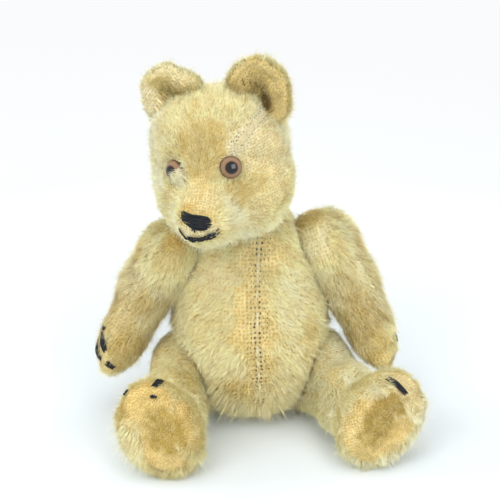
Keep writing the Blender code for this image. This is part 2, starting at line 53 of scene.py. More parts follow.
GAP = 0.3
FACE_AT = GAP / 2
SOFTNESS = 1.3
TORSO_BLEND, HEAD_BLEND, TEMPLE_BLEND, LIMB_BLEND = 9.0, 6.0, 4.0, 5.0
BELLY = ((0.0, -2.0, 26.0), (23.8, 21.5, 27.8))
CHEST = ((0.0, 0.5, 46.5), (20.5, 16.5, 24.0))
TORSO_CORE = ((0.0, -1.0, 20.0), (0.0, -1.0, 44.0))
NECK_POINT = (-3.4, -1.0, 66.0)
NECK_LEAN, NECK_NOD, HEAD_TURN = 12.0, 3.0, -19.0
SHOULDER_POINT = {"left": (16.5, 0.5, 52.5), "right": (17.7, 0.5, 50.0)}
SHOULDER_REACH = 17.0
SHOULDER_TILT = {"left": 24.5, "right": 27.0}
ARM_SWING = {"left": 12.0, "right": 6.0}
HIP_POINT = {"left": (13.2, -5.4, 14.2), "right": (13.2, -4.2, 14.2)}
HIP_REACH, HIP_TILT = 16.0, 10.0
HIP_SPLAY = {"left": 22.0, "right": 9.0}
TOE_TWIST = {"left": 30.0, "right": 16.0}
PRESS_EDGE = 2.6
SKULL = ((3.5, 0.0, 19.0), (21.0, 19.5, 23.0))
CHEEK = ((8.0, 7.3, 12.0), (13.0, 12.2, 12.0))
MUZZLE = ((22.0, 0.0, 13.0), (14.5, 9.5, 8.8))
TEMPLE = ((2.0, 7.0, 27.5), (15.0, 12.4, 13.5))
HEAD_CORE = ((3.0, 0.0, 19.0), (14.0, 0.0, 15.0))
ARM_OVALS = (((1.0, 0.0, 6.0), (10.0, 10.4, 9.8)),
             ((14.0, 0.0, 8.0), (13.5, 9.0, 8.4)),
             ((31.0, 1.0, 8.5), (13.5, 7.0, 6.6)))
ARM_CORE = ((2.0, 0.0, 6.5), (34.0, 1.0, 9.0))
LEG_OVALS = (((2.0, 0.0, 6.4), (14.0, 13.4, 11.3)),
             ((22.0, -1.0, 8.2), (18.0, 10.8, 10.2)))
FOOT_OVAL = ((40.0, 1.8, 9.0), (10.5, 14.8, 11.6))
SOLE, SOLE_HOLLOW, SOLE_SUNK = 48.0, 26.0, 1.5
LEG_CORE = ((4.0, 0.0, 7.5), (39.0, 1.5, 8.6))
EAR_ANGLE = {"left": 37.0, "right": 27.0}
EAR_ROOT = {"left": (4.0, -1.2), "right": (4.0, 5.6)}
EAR_SHOWN = {"left": (9.9, 10.4), "right": (9.8, 9.2)}
EAR_SINK, EAR_LEAN = {"left": 2.2, "right": 3.3}, {"left": 0.16, "right": 0.10}
EAR_CUP, EAR_CURL, EAR_BACK, EAR_DROOP, EAR_PLUMP = 1.5, 1.5, 2.2, 0.7, 3.2
EYE_RADIUS, EYE_DOME, EYE_EDGE, EYE_SEAT = 3.35, 2.3, 0.5, 0.5
EYE_AIM = (1.0, 0.50, 0.38)
SOCKET_RADIUS, SOCKET_DEPTH = 12.0, {"left": 0.8, "right": 1.9}


# ---- frames

def unit(vectors):
    vectors = np.asarray(vectors, float)
    return vectors / (np.linalg.norm(vectors, axis=-1, keepdims=True) + 1e-12)


def head_frame():
    """Place and axes of the head: ahead, left and up."""
    lean, nod, turn = radians(NECK_LEAN), radians(NECK_NOD), radians(HEAD_TURN)
    up = unit((-sin(lean), -sin(nod), cos(lean) * cos(nod)))
    ahead = np.array((sin(turn), -cos(turn), 0.0))
    ahead = unit(ahead - up * ahead.dot(up))
    return np.array(NECK_POINT), np.array([ahead, np.cross(up, ahead), up])


def shoulder_frame(side):
    """Place and axes of an arm: along it, to its front and outward."""
    sign, tilt, swing = SIDES[side], radians(SHOULDER_TILT[side]), radians(ARM_SWING[side])
    outward = np.array((sign * cos(tilt), 0.0, sin(tilt)))
    hang = np.array((sign * sin(tilt), 0.0, -cos(tilt)))
    front = np.array((0.0, -1.0, 0.0))
    axes = [hang * cos(swing) + front * sin(swing), front * cos(swing) - hang * sin(swing),
            outward]
    return np.array((sign, 1.0, 1.0)) * SHOULDER_POINT[side], unit(axes)


def hip_frame(side):
    """Place and axes of a leg: along it, towards the toe and outward."""
    sign, tilt, splay = SIDES[side], radians(HIP_TILT), radians(HIP_SPLAY[side])
    axes = [(sign * sin(splay), -cos(splay), 0.0),
            (sign * sin(tilt) * cos(splay), sin(tilt) * sin(splay), cos(tilt)),
            (sign * cos(tilt) * cos(splay), cos(tilt) * sin(splay), -sin(tilt))]
    return np.array((sign, 1.0, 1.0)) * HIP_POINT[side], unit(axes)


def to_frame(points, axes):
    return (points - axes[0]) @ axes[1].T


def from_frame(points, axes):
    return np.asarray(points, float) @ axes[1] + axes[0]


WORLD = (np.zeros(3), np.eye(3))
HEAD = head_frame()
SKULL_HUB = from_frame([SKULL[0]], HEAD)


# ---- soft forms

def oval(points, form):
    """Nearly the distance to an oval, negative inside it."""
    centre, radii = np.array(form[0]), np.array(form[1])
    scaled = (points - centre) / radii
    reach = np.linalg.norm(scaled, axis=1) + 1e-9
    return reach * (reach - 1.0) / (np.linalg.norm(scaled / radii, axis=1) + 1e-9)


def blended(first, second, width):
    """The smaller of two distances, with the join rounded over a width."""
    mix = np.clip(0.5 + 0.5 * (second - first) / width, 0.0, 1.0)
    return second * (1.0 - mix) + first * mix - width * mix * (1.0 - mix)


def trimmed(field, cut):
    """What is left of a form outside a cut, with a soft edge."""
    return -blended(-field, -cut, SOFTNESS)


def pressed(field, points, axes, reach):
    """A body pressed flat by a limb, as far as the limb reaches round its joint."""
    local = to_frame(points, axes)
    around = reach - np.hypot(local[:, 0], local[:, 1])
    return trimmed(field, blended(local[:, 2] + FACE_AT, around, PRESS_EDGE))


def torso_field(points):
    field = blended(oval(points, BELLY), oval(points, CHEST), TORSO_BLEND)
    field = trimmed(field, to_frame(points, HEAD)[:, 2] + FACE_AT)
    for side in SIDES:
        field = pressed(field, points, shoulder_frame(side), SHOULDER_REACH)
        field = pressed(field, points, hip_frame(side), HIP_REACH)
    return trimmed(field, -points[:, 2])


def eye_direction(side):
    return unit((EYE_AIM[0], EYE_AIM[1] * SIDES[side], EYE_AIM[2]))


def head_field(points):
    local = to_frame(points, HEAD)
    folded = np.stack([local[:, 0], np.abs(local[:, 1]), local[:, 2]], 1)
    field = blended(oval(local, SKULL), oval(folded, CHEEK), HEAD_BLEND)
    field = blended(field, oval(folded, TEMPLE), TEMPLE_BLEND)
    field = blended(field, oval(local, MUZZLE), HEAD_BLEND)
    for side, depth in SOCKET_DEPTH.items():
        way = eye_direction(side)
        reach = 1.0 / np.linalg.norm(way / SKULL[1]) + SOCKET_RADIUS - depth
        socket = np.linalg.norm(local - SKULL[0] - way * reach, axis=1) - SOCKET_RADIUS
        field = trimmed(field, -socket)
    return trimmed(field, FACE_AT - local[:, 2])


def arm_field(points, side):
    local = to_frame(points, shoulder_frame(side))
    field = oval(local, ARM_OVALS[0])
    for form in ARM_OVALS[1:]:
        field = blended(field, oval(local, form), LIMB_BLEND)
    return trimmed(field, FACE_AT - local[:, 2])


def foot_points(local, side):
    """Limb coordinates turned back about the leg by the foot's own twist."""
    twist, centre = radians(TOE_TWIST[side]), FOOT_OVAL[0]
    toe, out = local[:, 1] - centre[1], local[:, 2] - centre[2]
    return np.stack([local[:, 0], centre[1] + toe * cos(twist) + out * sin(twist),
                     centre[2] - toe * sin(twist) + out * cos(twist)], 1)


def leg_field(points, side):
    local = to_frame(points, hip_frame(side))
    field = blended(oval(local, LEG_OVALS[0]), oval(local, LEG_OVALS[1]), LIMB_BLEND)
    field = trimmed(field, FACE_AT - local[:, 2])
    field = blended(field, oval(foot_points(local, side), FOOT_OVAL), LIMB_BLEND)
    field = trimmed(field, local[:, 0] - SOLE)
    hollow = (SOLE + SOLE_HOLLOW - SOLE_SUNK, *FOOT_OVAL[0][1:])
    field = trimmed(field, SOLE_HOLLOW - np.linalg.norm(local - hollow, axis=1))
    return trimmed(field, -points[:, 2])


def limb_field(limb, side):
    shape = arm_field if limb == "arm" else leg_field
    return lambda points: shape(points, side)


FIELDS = {"torso": torso_field, "head": head_field}
FRAMES = {"torso": WORLD, "head": HEAD}
CORES = {"torso": TORSO_CORE, "head": HEAD_CORE}
for _side in SIDES:
    FIELDS[f"arm_{_side}"] = limb_field("arm", _side)
    FIELDS[f"leg_{_side}"] = limb_field("leg", _side)
    FRAMES[f"arm_{_side}"] = shoulder_frame(_side)
    FRAMES[f"leg_{_side}"] = hip_frame(_side)
    CORES[f"arm_{_side}"] = ARM_CORE
    CORES[f"leg_{_side}"] = LEG_CORE


def room_at(points, name):
    """Distance from each point to the nearest neighbour of a part."""
    return np.min([FIELDS[other](points) for other in FIELDS if other != name], axis=0)


FARTHEST, HALVINGS, SLOPE_STEP = 60.0, 30, 0.1


def surface_along(field, starts, directions, level=0.0):
    """Where rays from inside a form meet its surface; one start or way can serve all."""
    starts, directions = np.broadcast_arrays(np.atleast_2d(starts), directions)
    near, far = np.zeros(len(starts)), np.full(len(starts), FARTHEST)
    for _ in range(HALVINGS):
        middle = (near + far) / 2
        inside = field(starts + directions * middle[:, None]) < level
        near, far = np.where(inside, middle, near), np.where(inside, far, middle)
    return starts + directions * near[:, None]


def outward_at(field, points):
    """Unit normals of a form near its surface."""
    steps = SLOPE_STEP * np.eye(3)
    slopes = [field(points + step) - field(points - step) for step in steps]
    return unit(np.array(slopes).T)


# ---- small tools

def ease(low, high, values):
    """0 at low and 1 at high, easing in and out; low may be above high."""
    share = np.clip((values - low) / (high - low), 0.0, 1.0)
    return share * share * (3.0 - 2.0 * share)


def waves(points, size, seed, count=14):
    """Smooth noise from about -1 to 1, with lumps about size across."""
    spin = np.random.default_rng(seed)
    ways = unit(spin.normal(size=(count, 3))) * spin.uniform(0.6, 1.5, (count, 1)) * pi / size
    phases = spin.uniform(0.0, 2 * pi, count)
    noise = np.sin(points @ ways.T + phases).sum(axis=1) / (count / 2) ** 0.5
    return np.clip(noise / 1.7, -1.0, 1.0)


def linear(red, green, blue):
    """A colour as it is seen on a screen, 0 to 255, as light."""
    seen = np.array((red, green, blue)) / 255.0
    return np.where(seen < 0.04045, seen / 12.92, ((seen + 0.055) / 1.055) ** 2.4)


def ball(count):
    """A cube's grid blown up to a unit ball: places and outward quads."""
    line = np.tan(np.linspace(-1.0, 1.0, count + 1) * pi / 4)
    u, v = np.meshgrid(line, line, indexing="ij")
    one = np.ones_like(u)
    sheets = [(one, u, v), (-one, v, u), (v, one, u), (u, -one, v), (u, v, one), (v, u, -one)]
    places = np.concatenate([np.stack(s, -1).reshape(-1, 3) for s in sheets])
    keys = np.round(unit(places) * 1e6).astype(int)
    _, first, back = np.unique(keys, axis=0, return_index=True, return_inverse=True)
    back = back.reshape(6, count + 1, count + 1)
    quads = np.stack([back[:, :-1, :-1], back[:, 1:, :-1], back[:, 1:, 1:],
                      back[:, :-1, 1:]], -1)
    return unit(places[first]), quads.reshape(-1, 4)


def point_normals(points, quads):
    """Smooth outward normals of a mesh of quads."""
    across = np.cross(points[quads[:, 2]] - points[quads[:, 0]],
                      points[quads[:, 3]] - points[quads[:, 1]])
    normals = np.zeros_like(points)
    for corner in range(4):
        np.add.at(normals, quads[:, corner], across)
    return unit(normals)


def mesh_of(name, points, faces):
    """A mesh in metres from places in millimetres and faces of one size."""
    data = bpy.data.meshes.new(name)
    faces = np.asarray(faces, np.int32)
    data.vertices.add(len(points))
    data.vertices.foreach_set("co", (np.asarray(points) * MM).astype(np.float32).ravel())
    data.loops.add(faces.size)
    data.loops.foreach_set("vertex_index", faces.ravel())
    data.polygons.add(len(faces))
    starts = np.arange(len(faces), dtype=np.int32) * faces.shape[1]
    data.polygons.foreach_set("loop_start", starts)
    data.update(calc_edges=True)
    data.validate()
    data.shade_smooth()
    return data


def paint(data, name, values, kind="FLOAT_COLOR", domain="POINT"):
    """Keep a number, a vector or a colour for each point or corner of a mesh."""
    values = np.asarray(values, np.float32)
    if kind == "FLOAT_COLOR":
        values = np.concatenate([values, np.ones((len(values), 1), np.float32)], 1)
    key = {"FLOAT": "value", "FLOAT_VECTOR": "vector", "FLOAT_COLOR": "color"}[kind]
    data.attributes.new(name, kind, domain).data.foreach_set(key, values.ravel())


def in_scene(name, data):
    thing = bpy.data.objects.new(name, data)
    bpy.context.scene.collection.objects.link(thing)
    return thing


def piece(name, data, body, material, replaces=()):
    """A shown object that rides on a body of the bear."""
    thing = in_scene(name, data)
    data.materials.append(material)
    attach(thing, body)
    if replaces:
        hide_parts(*replaces)
    return thing


def along_skin(ways, normals):
    """Ways laid flat on the skin."""
    return unit(ways - normals * (ways * normals).sum(axis=1)[:, None])


def wobble(points, size, seed):
    """A smooth random vector at each point."""
    return np.stack([waves(points, size, seed + axis) for axis in range(3)], 1)


THREAD_SIDES = 6


def tubes(paths, radii):
    """Round threads along paths of equal length: places and quads."""
    paths = np.asarray(paths, float)
    count, length = paths.shape[:2]
    radii = np.broadcast_to(radii, (count, length))
    along = unit(np.gradient(paths, axis=1))
    helper = np.where(np.abs(along[:, :1, 2:]) > 0.8, (1.0, 0.0, 0.0), (0.0, 0.0, 1.0))
    first = unit(np.cross(along, np.broadcast_to(helper, along.shape)))
    second = np.cross(along, first)
    turn = np.arange(THREAD_SIDES) * 2 * pi / THREAD_SIDES
    ring = (first[:, :, None] * np.cos(turn)[:, None] + second[:, :, None]
            * np.sin(turn)[:, None]) * radii[:, :, None, None]
    places = paths[:, :, None] + ring
    index = np.arange(places.size // 3).reshape(count, length, THREAD_SIDES)
    after = np.roll(index, -1, axis=2)
    quads = np.stack([index[:, :-1], after[:, :-1], after[:, 1:], index[:, 1:]], -1)
    return places.reshape(-1, 3), quads.reshape(-1, 4)


# ---- materials

class Nodes:
    """The node tree of a material or a world, with short ways to add and join nodes."""

    def __init__(self, owner):
        owner.use_nodes = True
        self.owner, self.tree = owner, owner.node_tree

    def put(self, node, key, value):
        if isinstance(value, bpy.types.NodeSocket):
            self.tree.links.new(value, node.inputs[key])
        else:
            node.inputs[key].default_value = value

    def add(self, kind, settings=(), **inputs):
        node = self.tree.nodes.new(kind)
        for key, value in dict(settings).items():
            setattr(node, key, value)
        for key, value in inputs.items():
            self.put(node, key.replace("_", " "), value)
        return node

    def fed(self, kind, *values, **settings):
        """The first output of a new node whose inputs take the values in turn."""
        node = self.add(kind, settings)
        for index, value in enumerate(values):
            self.put(node, index, value)
        return node.outputs[0]

    def attribute(self, name, output="Fac"):
        return self.add("ShaderNodeAttribute", {"attribute_name": name}).outputs[output]

    def place(self):
        """Object coordinates, in metres."""
        return self.add("ShaderNodeTexCoord").outputs["Object"]

    def math(self, operation, first, second):
        return self.fed("ShaderNodeMath", first, second, operation=operation)

    def span(self, value, low, high, to_low=0.0, to_high=1.0):
        return self.fed("ShaderNodeMapRange", value, low, high, to_low, to_high,
                        interpolation_type="SMOOTHSTEP")

    def noise(self, vector, scale, detail=2.0, rough=0.55):
        return self.add("ShaderNodeTexNoise", Vector=vector, Scale=scale, Detail=detail,
                        Roughness=rough).outputs[0]

    def mix(self, share, first, second, blend="MIX"):
        node = self.add("ShaderNodeMix", {"data_type": "RGBA", "blend_type": blend})
        for index, value in ((0, share), (6, first), (7, second)):
            self.put(node, index, value)
        return node.outputs[2]

    def times(self, colour, factor):
        return self.mix(1.0, colour, factor, "MULTIPLY")

    def seen_directly(self):
        """1 for what the camera, a mirror or a glass sees, 0 for what lights the object."""
        rays = self.add("ShaderNodeLightPath").outputs
        seen = self.math("MAXIMUM", rays["Is Camera Ray"], rays["Is Glossy Ray"])
        return self.math("MAXIMUM", seen, rays["Is Transmission Ray"])

    def finish(self, colour, roughness, height=None, depth=0.0001, **constants):
        """The material, with its colour, roughness and relief joined to its shader."""
        shader = self.tree.nodes["Principled BSDF"]
        self.put(shader, "Base Color", colour)
        self.put(shader, "Roughness", roughness)
        for key, value in constants.items():
            self.put(shader, key.replace("_", " "), value)
        if height is not None:
            bump = self.add("ShaderNodeBump", Strength=1.0, Distance=depth, Height=height)
            self.put(shader, "Normal", bump.outputs[0])
        return self.owner


def new_material(name):
    return Nodes(bpy.data.materials.new(name))


def rgba(colour):
    return (*[float(c) for c in colour], 1.0)


# What the backing's colour is multiplied by: painted shade at its loops' edges, a painted
# highlight on them, and shade in holes.
LOOP_EDGE_SHADE, LOOP_TOP_HIGHLIGHT = (0.89, 0.81, 0.65, 1.0), (1.10, 1.11, 1.17, 1.0)
HOLE_SHADE = (0.40, 0.31, 0.23, 1.0)


def cloth_material():
    """Woven backing: cream loops with a painted highlight on their tops and painted shade at
    their edges, dark holes where bare, matted root elsewhere.
    """
    n = new_material("worn_backing")
    tint, worn = n.attribute("tint", "Color"), n.attribute("worn")
    grain, place = n.attribute("grain", "Vector"), n.place()
    cells = n.add("ShaderNodeTexVoronoi", {"voronoi_dimensions": "2D"}, Vector=grain,
                  Scale=0.88, Randomness=0.5)
    reach = cells.outputs["Distance"]
    fine = n.noise(grain, 2.6, 3.0, 0.7)
    hole = n.span(n.math("ADD", reach, n.math("MULTIPLY", fine, 0.16)), 0.27, 0.13)
    hole = n.math("MULTIPLY", hole, n.span(n.noise(place, 420.0, 3.0), 0.30, 0.65))
    hole = n.math("MULTIPLY", hole, n.span(worn, 0.15, 0.6, 0.15, 1.0))
    loops = n.span(n.math("ADD", reach, n.math("MULTIPLY", fine, 0.9)), 0.62, 1.05)
    # Painted shade at the loops' edges and a painted highlight on their tops, following the
    # relief.
    low, high, dark = (n.times(tint, shade) for shade in (LOOP_EDGE_SHADE, LOOP_TOP_HIGHLIGHT, HOLE_SHADE))
    stain = n.span(n.noise(place, 160.0, 4.0), 0.35, 0.7, 0.86, 1.08)
    colour = n.times(n.mix(loops, low, high), stain)
    colour = n.mix(n.math("MULTIPLY", hole, 0.62), colour, dark)
    height = n.math("SUBTRACT", loops, hole)
    return n.finish(colour, n.span(fine, 0.3, 0.7, 0.85, 1.0), height, 0.00016,
                    Specular_IOR_Level=0.2)


def pile_material():
    """Mohair: each strand keeps its own colour, with painted shade darkening it towards its
    root.
    """
    n = new_material("mohair_strands")
    streak = n.span(n.noise(n.place(), 900.0), 0.3, 0.7, 0.93, 1.05)
    colour = n.times(n.attribute("strand", "Color"), streak)
    return n.finish(colour, 0.7, Specular_IOR_Level=0.18)


def thread_material(name, colour, groove_shade, shine, gloss):
    """Twisted thread whose plies show as slanted streaks, with painted shade where their
    relief is low.
    """
    n = new_material(name)
    plies = n.noise(n.place(), 2600.0)
    # Painted shade in the grooves between the plies.
    shade = n.mix(n.span(plies, 0.35, 0.65), rgba(np.array(colour) * groove_shade), rgba(colour))
    return n.finish(n.times(shade, n.attribute("tint", "Color")),
                    n.span(plies, 0.3, 0.7, shine, 0.9), plies, 0.00006,
                    Specular_IOR_Level=gloss)


def pit_material():
    """The dark inside of a needle hole."""
    n = new_material("needle_holes")
    dark, light = rgba(linear(40, 30, 20)), rgba(linear(104, 80, 46))
    return n.finish(n.mix(n.noise(n.place(), 900.0), dark, light), 0.95,
                    Specular_IOR_Level=0.1)


CLOTH, PILE, PIT = cloth_material(), pile_material(), pit_material()
BLACK = thread_material("black_thread", (0.010, 0.013, 0.018), 0.4, 0.40, 0.4)
CREAM = thread_material("cream_thread", (0.87, 0.77, 0.48), 0.9, 0.8, 0.05)

# ---- camera, floor and light

VIEW_AIM = Vector((0.0, 0.0, 0.0526))
VIEW_TURN, VIEW_DROP, VIEW_AWAY, VIEW_HALF = 3.0, 24.0, 0.600, 0.0775
LIGHT_AIM = Vector((0.0, 0.0, 0.05))
LIGHTS = (("top", (0.0, -0.20, 1.30), 1.2, 7.6),
          ("front_left", (-0.75, -0.95, 0.80), 0.9, 7.5),
          ("front_right", (0.50, -1.06, 0.53), 0.65, 5.8),
          ("back_left", (-1.0, 0.40, 0.60), 0.9, 5.8),
          ("back_right", (1.0, 0.50, 0.60), 0.9, 3.6))
MIRRORED = "front_right"
FILL, FILL_POWER = (0.99, 1.0, 1.0, 1.0), 0.42
BACKDROP = (0.96, 0.965, 0.975, 1.0)
FLOOR_HALF, FLOOR_FADE = 4000, (0.16, 0.46)
# Painted light: the paper is paler and cooler close to the bear than farther out.
PAPER_NEAR_WITH_PAINTED_LIGHT, PAPER_FAR = (0.80, 0.86, 0.90, 1.0), (0.80, 0.82, 0.83, 1.0)
PAPER_CHANGE = (0.08, 0.30)
NEAR_GLOW = 0.05


def aimed(thing, place, way):
    """Put a camera or a lamp in its place, facing a way."""
    thing.location = place
    thing.rotation_mode = "QUATERNION"
    thing.rotation_quaternion = way.to_track_quat("-Z", "Y")


def add_camera():
    turn, drop = radians(VIEW_TURN), radians(VIEW_DROP)
    ahead = Vector((sin(turn) * cos(drop), cos(turn) * cos(drop), -sin(drop)))
    lens = bpy.data.cameras.new("camera")
    lens.angle = 2 * atan(VIEW_HALF / VIEW_AWAY)
    lens.clip_start, lens.clip_end = 0.01, 20.0
    camera = in_scene("camera", lens)
    aimed(camera, VIEW_AIM - ahead * VIEW_AWAY, ahead)
    bpy.context.scene.camera = camera


def add_light(name, place, size, power):
    """A square soft box aimed at the bear's chest; the eyes mirror only one."""
    lamp = bpy.data.lights.new(name, "AREA")
    lamp.size, lamp.energy = size, power
    thing = in_scene(name, lamp)
    aimed(thing, place, LIGHT_AIM - Vector(place))
    thing.visible_glossy = name == MIRRORED


def add_world():
    """The plain backdrop as it is seen, and a dimmer fill as it lights the bear."""
    world = bpy.data.worlds.new("studio")
    bpy.context.scene.world = world
    n = Nodes(world)
    n.tree.nodes.clear()
    fill = n.fed("ShaderNodeBackground", FILL, FILL_POWER)
    shown = n.fed("ShaderNodeBackground", BACKDROP, 1.0)
    n.add("ShaderNodeOutputWorld",
          Surface=n.fed("ShaderNodeMixShader", n.seen_directly(), fill, shown))


def add_floor():
    """A white sweep: paper round the bear, painted paler and cooler close to it, turning into
    the backdrop's glow far away.
    """
    signs = ((-1, -1, 0), (1, -1, 0), (1, 1, 0), (-1, 1, 0))
    data = mesh_of("floor", FLOOR_HALF * np.array(signs), [(0, 1, 2, 3)])
    n = new_material("white_sweep")
    away = n.add("ShaderNodeVectorMath", {"operation": "LENGTH"})
    n.put(away, 0, n.place())
    reach = away.outputs["Value"]
    far = n.span(reach, *FLOOR_FADE)
    paper = n.mix(n.span(reach, *PAPER_CHANGE), PAPER_NEAR_WITH_PAINTED_LIGHT, PAPER_FAR)
    n.finish(n.mix(far, paper, (0.0, 0.0, 0.0, 1.0)), 0.9, Specular_IOR_Level=0.0)
    near = n.span(reach, 0.05, 0.12, 0.0, NEAR_GLOW)
    strength = n.math("MULTIPLY", n.seen_directly(), n.math("MAXIMUM", near, far))
    glow = n.fed("ShaderNodeEmission", BACKDROP, strength)
    both = n.fed("ShaderNodeAddShader", n.tree.nodes["Principled BSDF"].outputs[0], glow)
    n.put(n.tree.nodes["Material Output"], "Surface", both)
    data.materials.append(n.owner)
    in_scene("floor", data)


add_camera()
add_world()
add_floor()
for _light in LIGHTS:
    add_light(*_light)
bpy.context.scene.view_settings.view_transform = "Standard"

# ---- wear, painted shade and painted light, patch by patch

# Each patch: its middle, its radii, and what the cloth becomes inside its ragged edge.
# bare: pile gone; gold, brown: colour; pale: paler colour, in some patches partly painted
# light; dark: painted shade in creases, under the belly, along the arms and in the ears,
# elsewhere darker cloth; long: longer pile; felt: matted short.
QUALITIES = ("bare", "gold", "brown", "pale", "dark", "long", "felt")

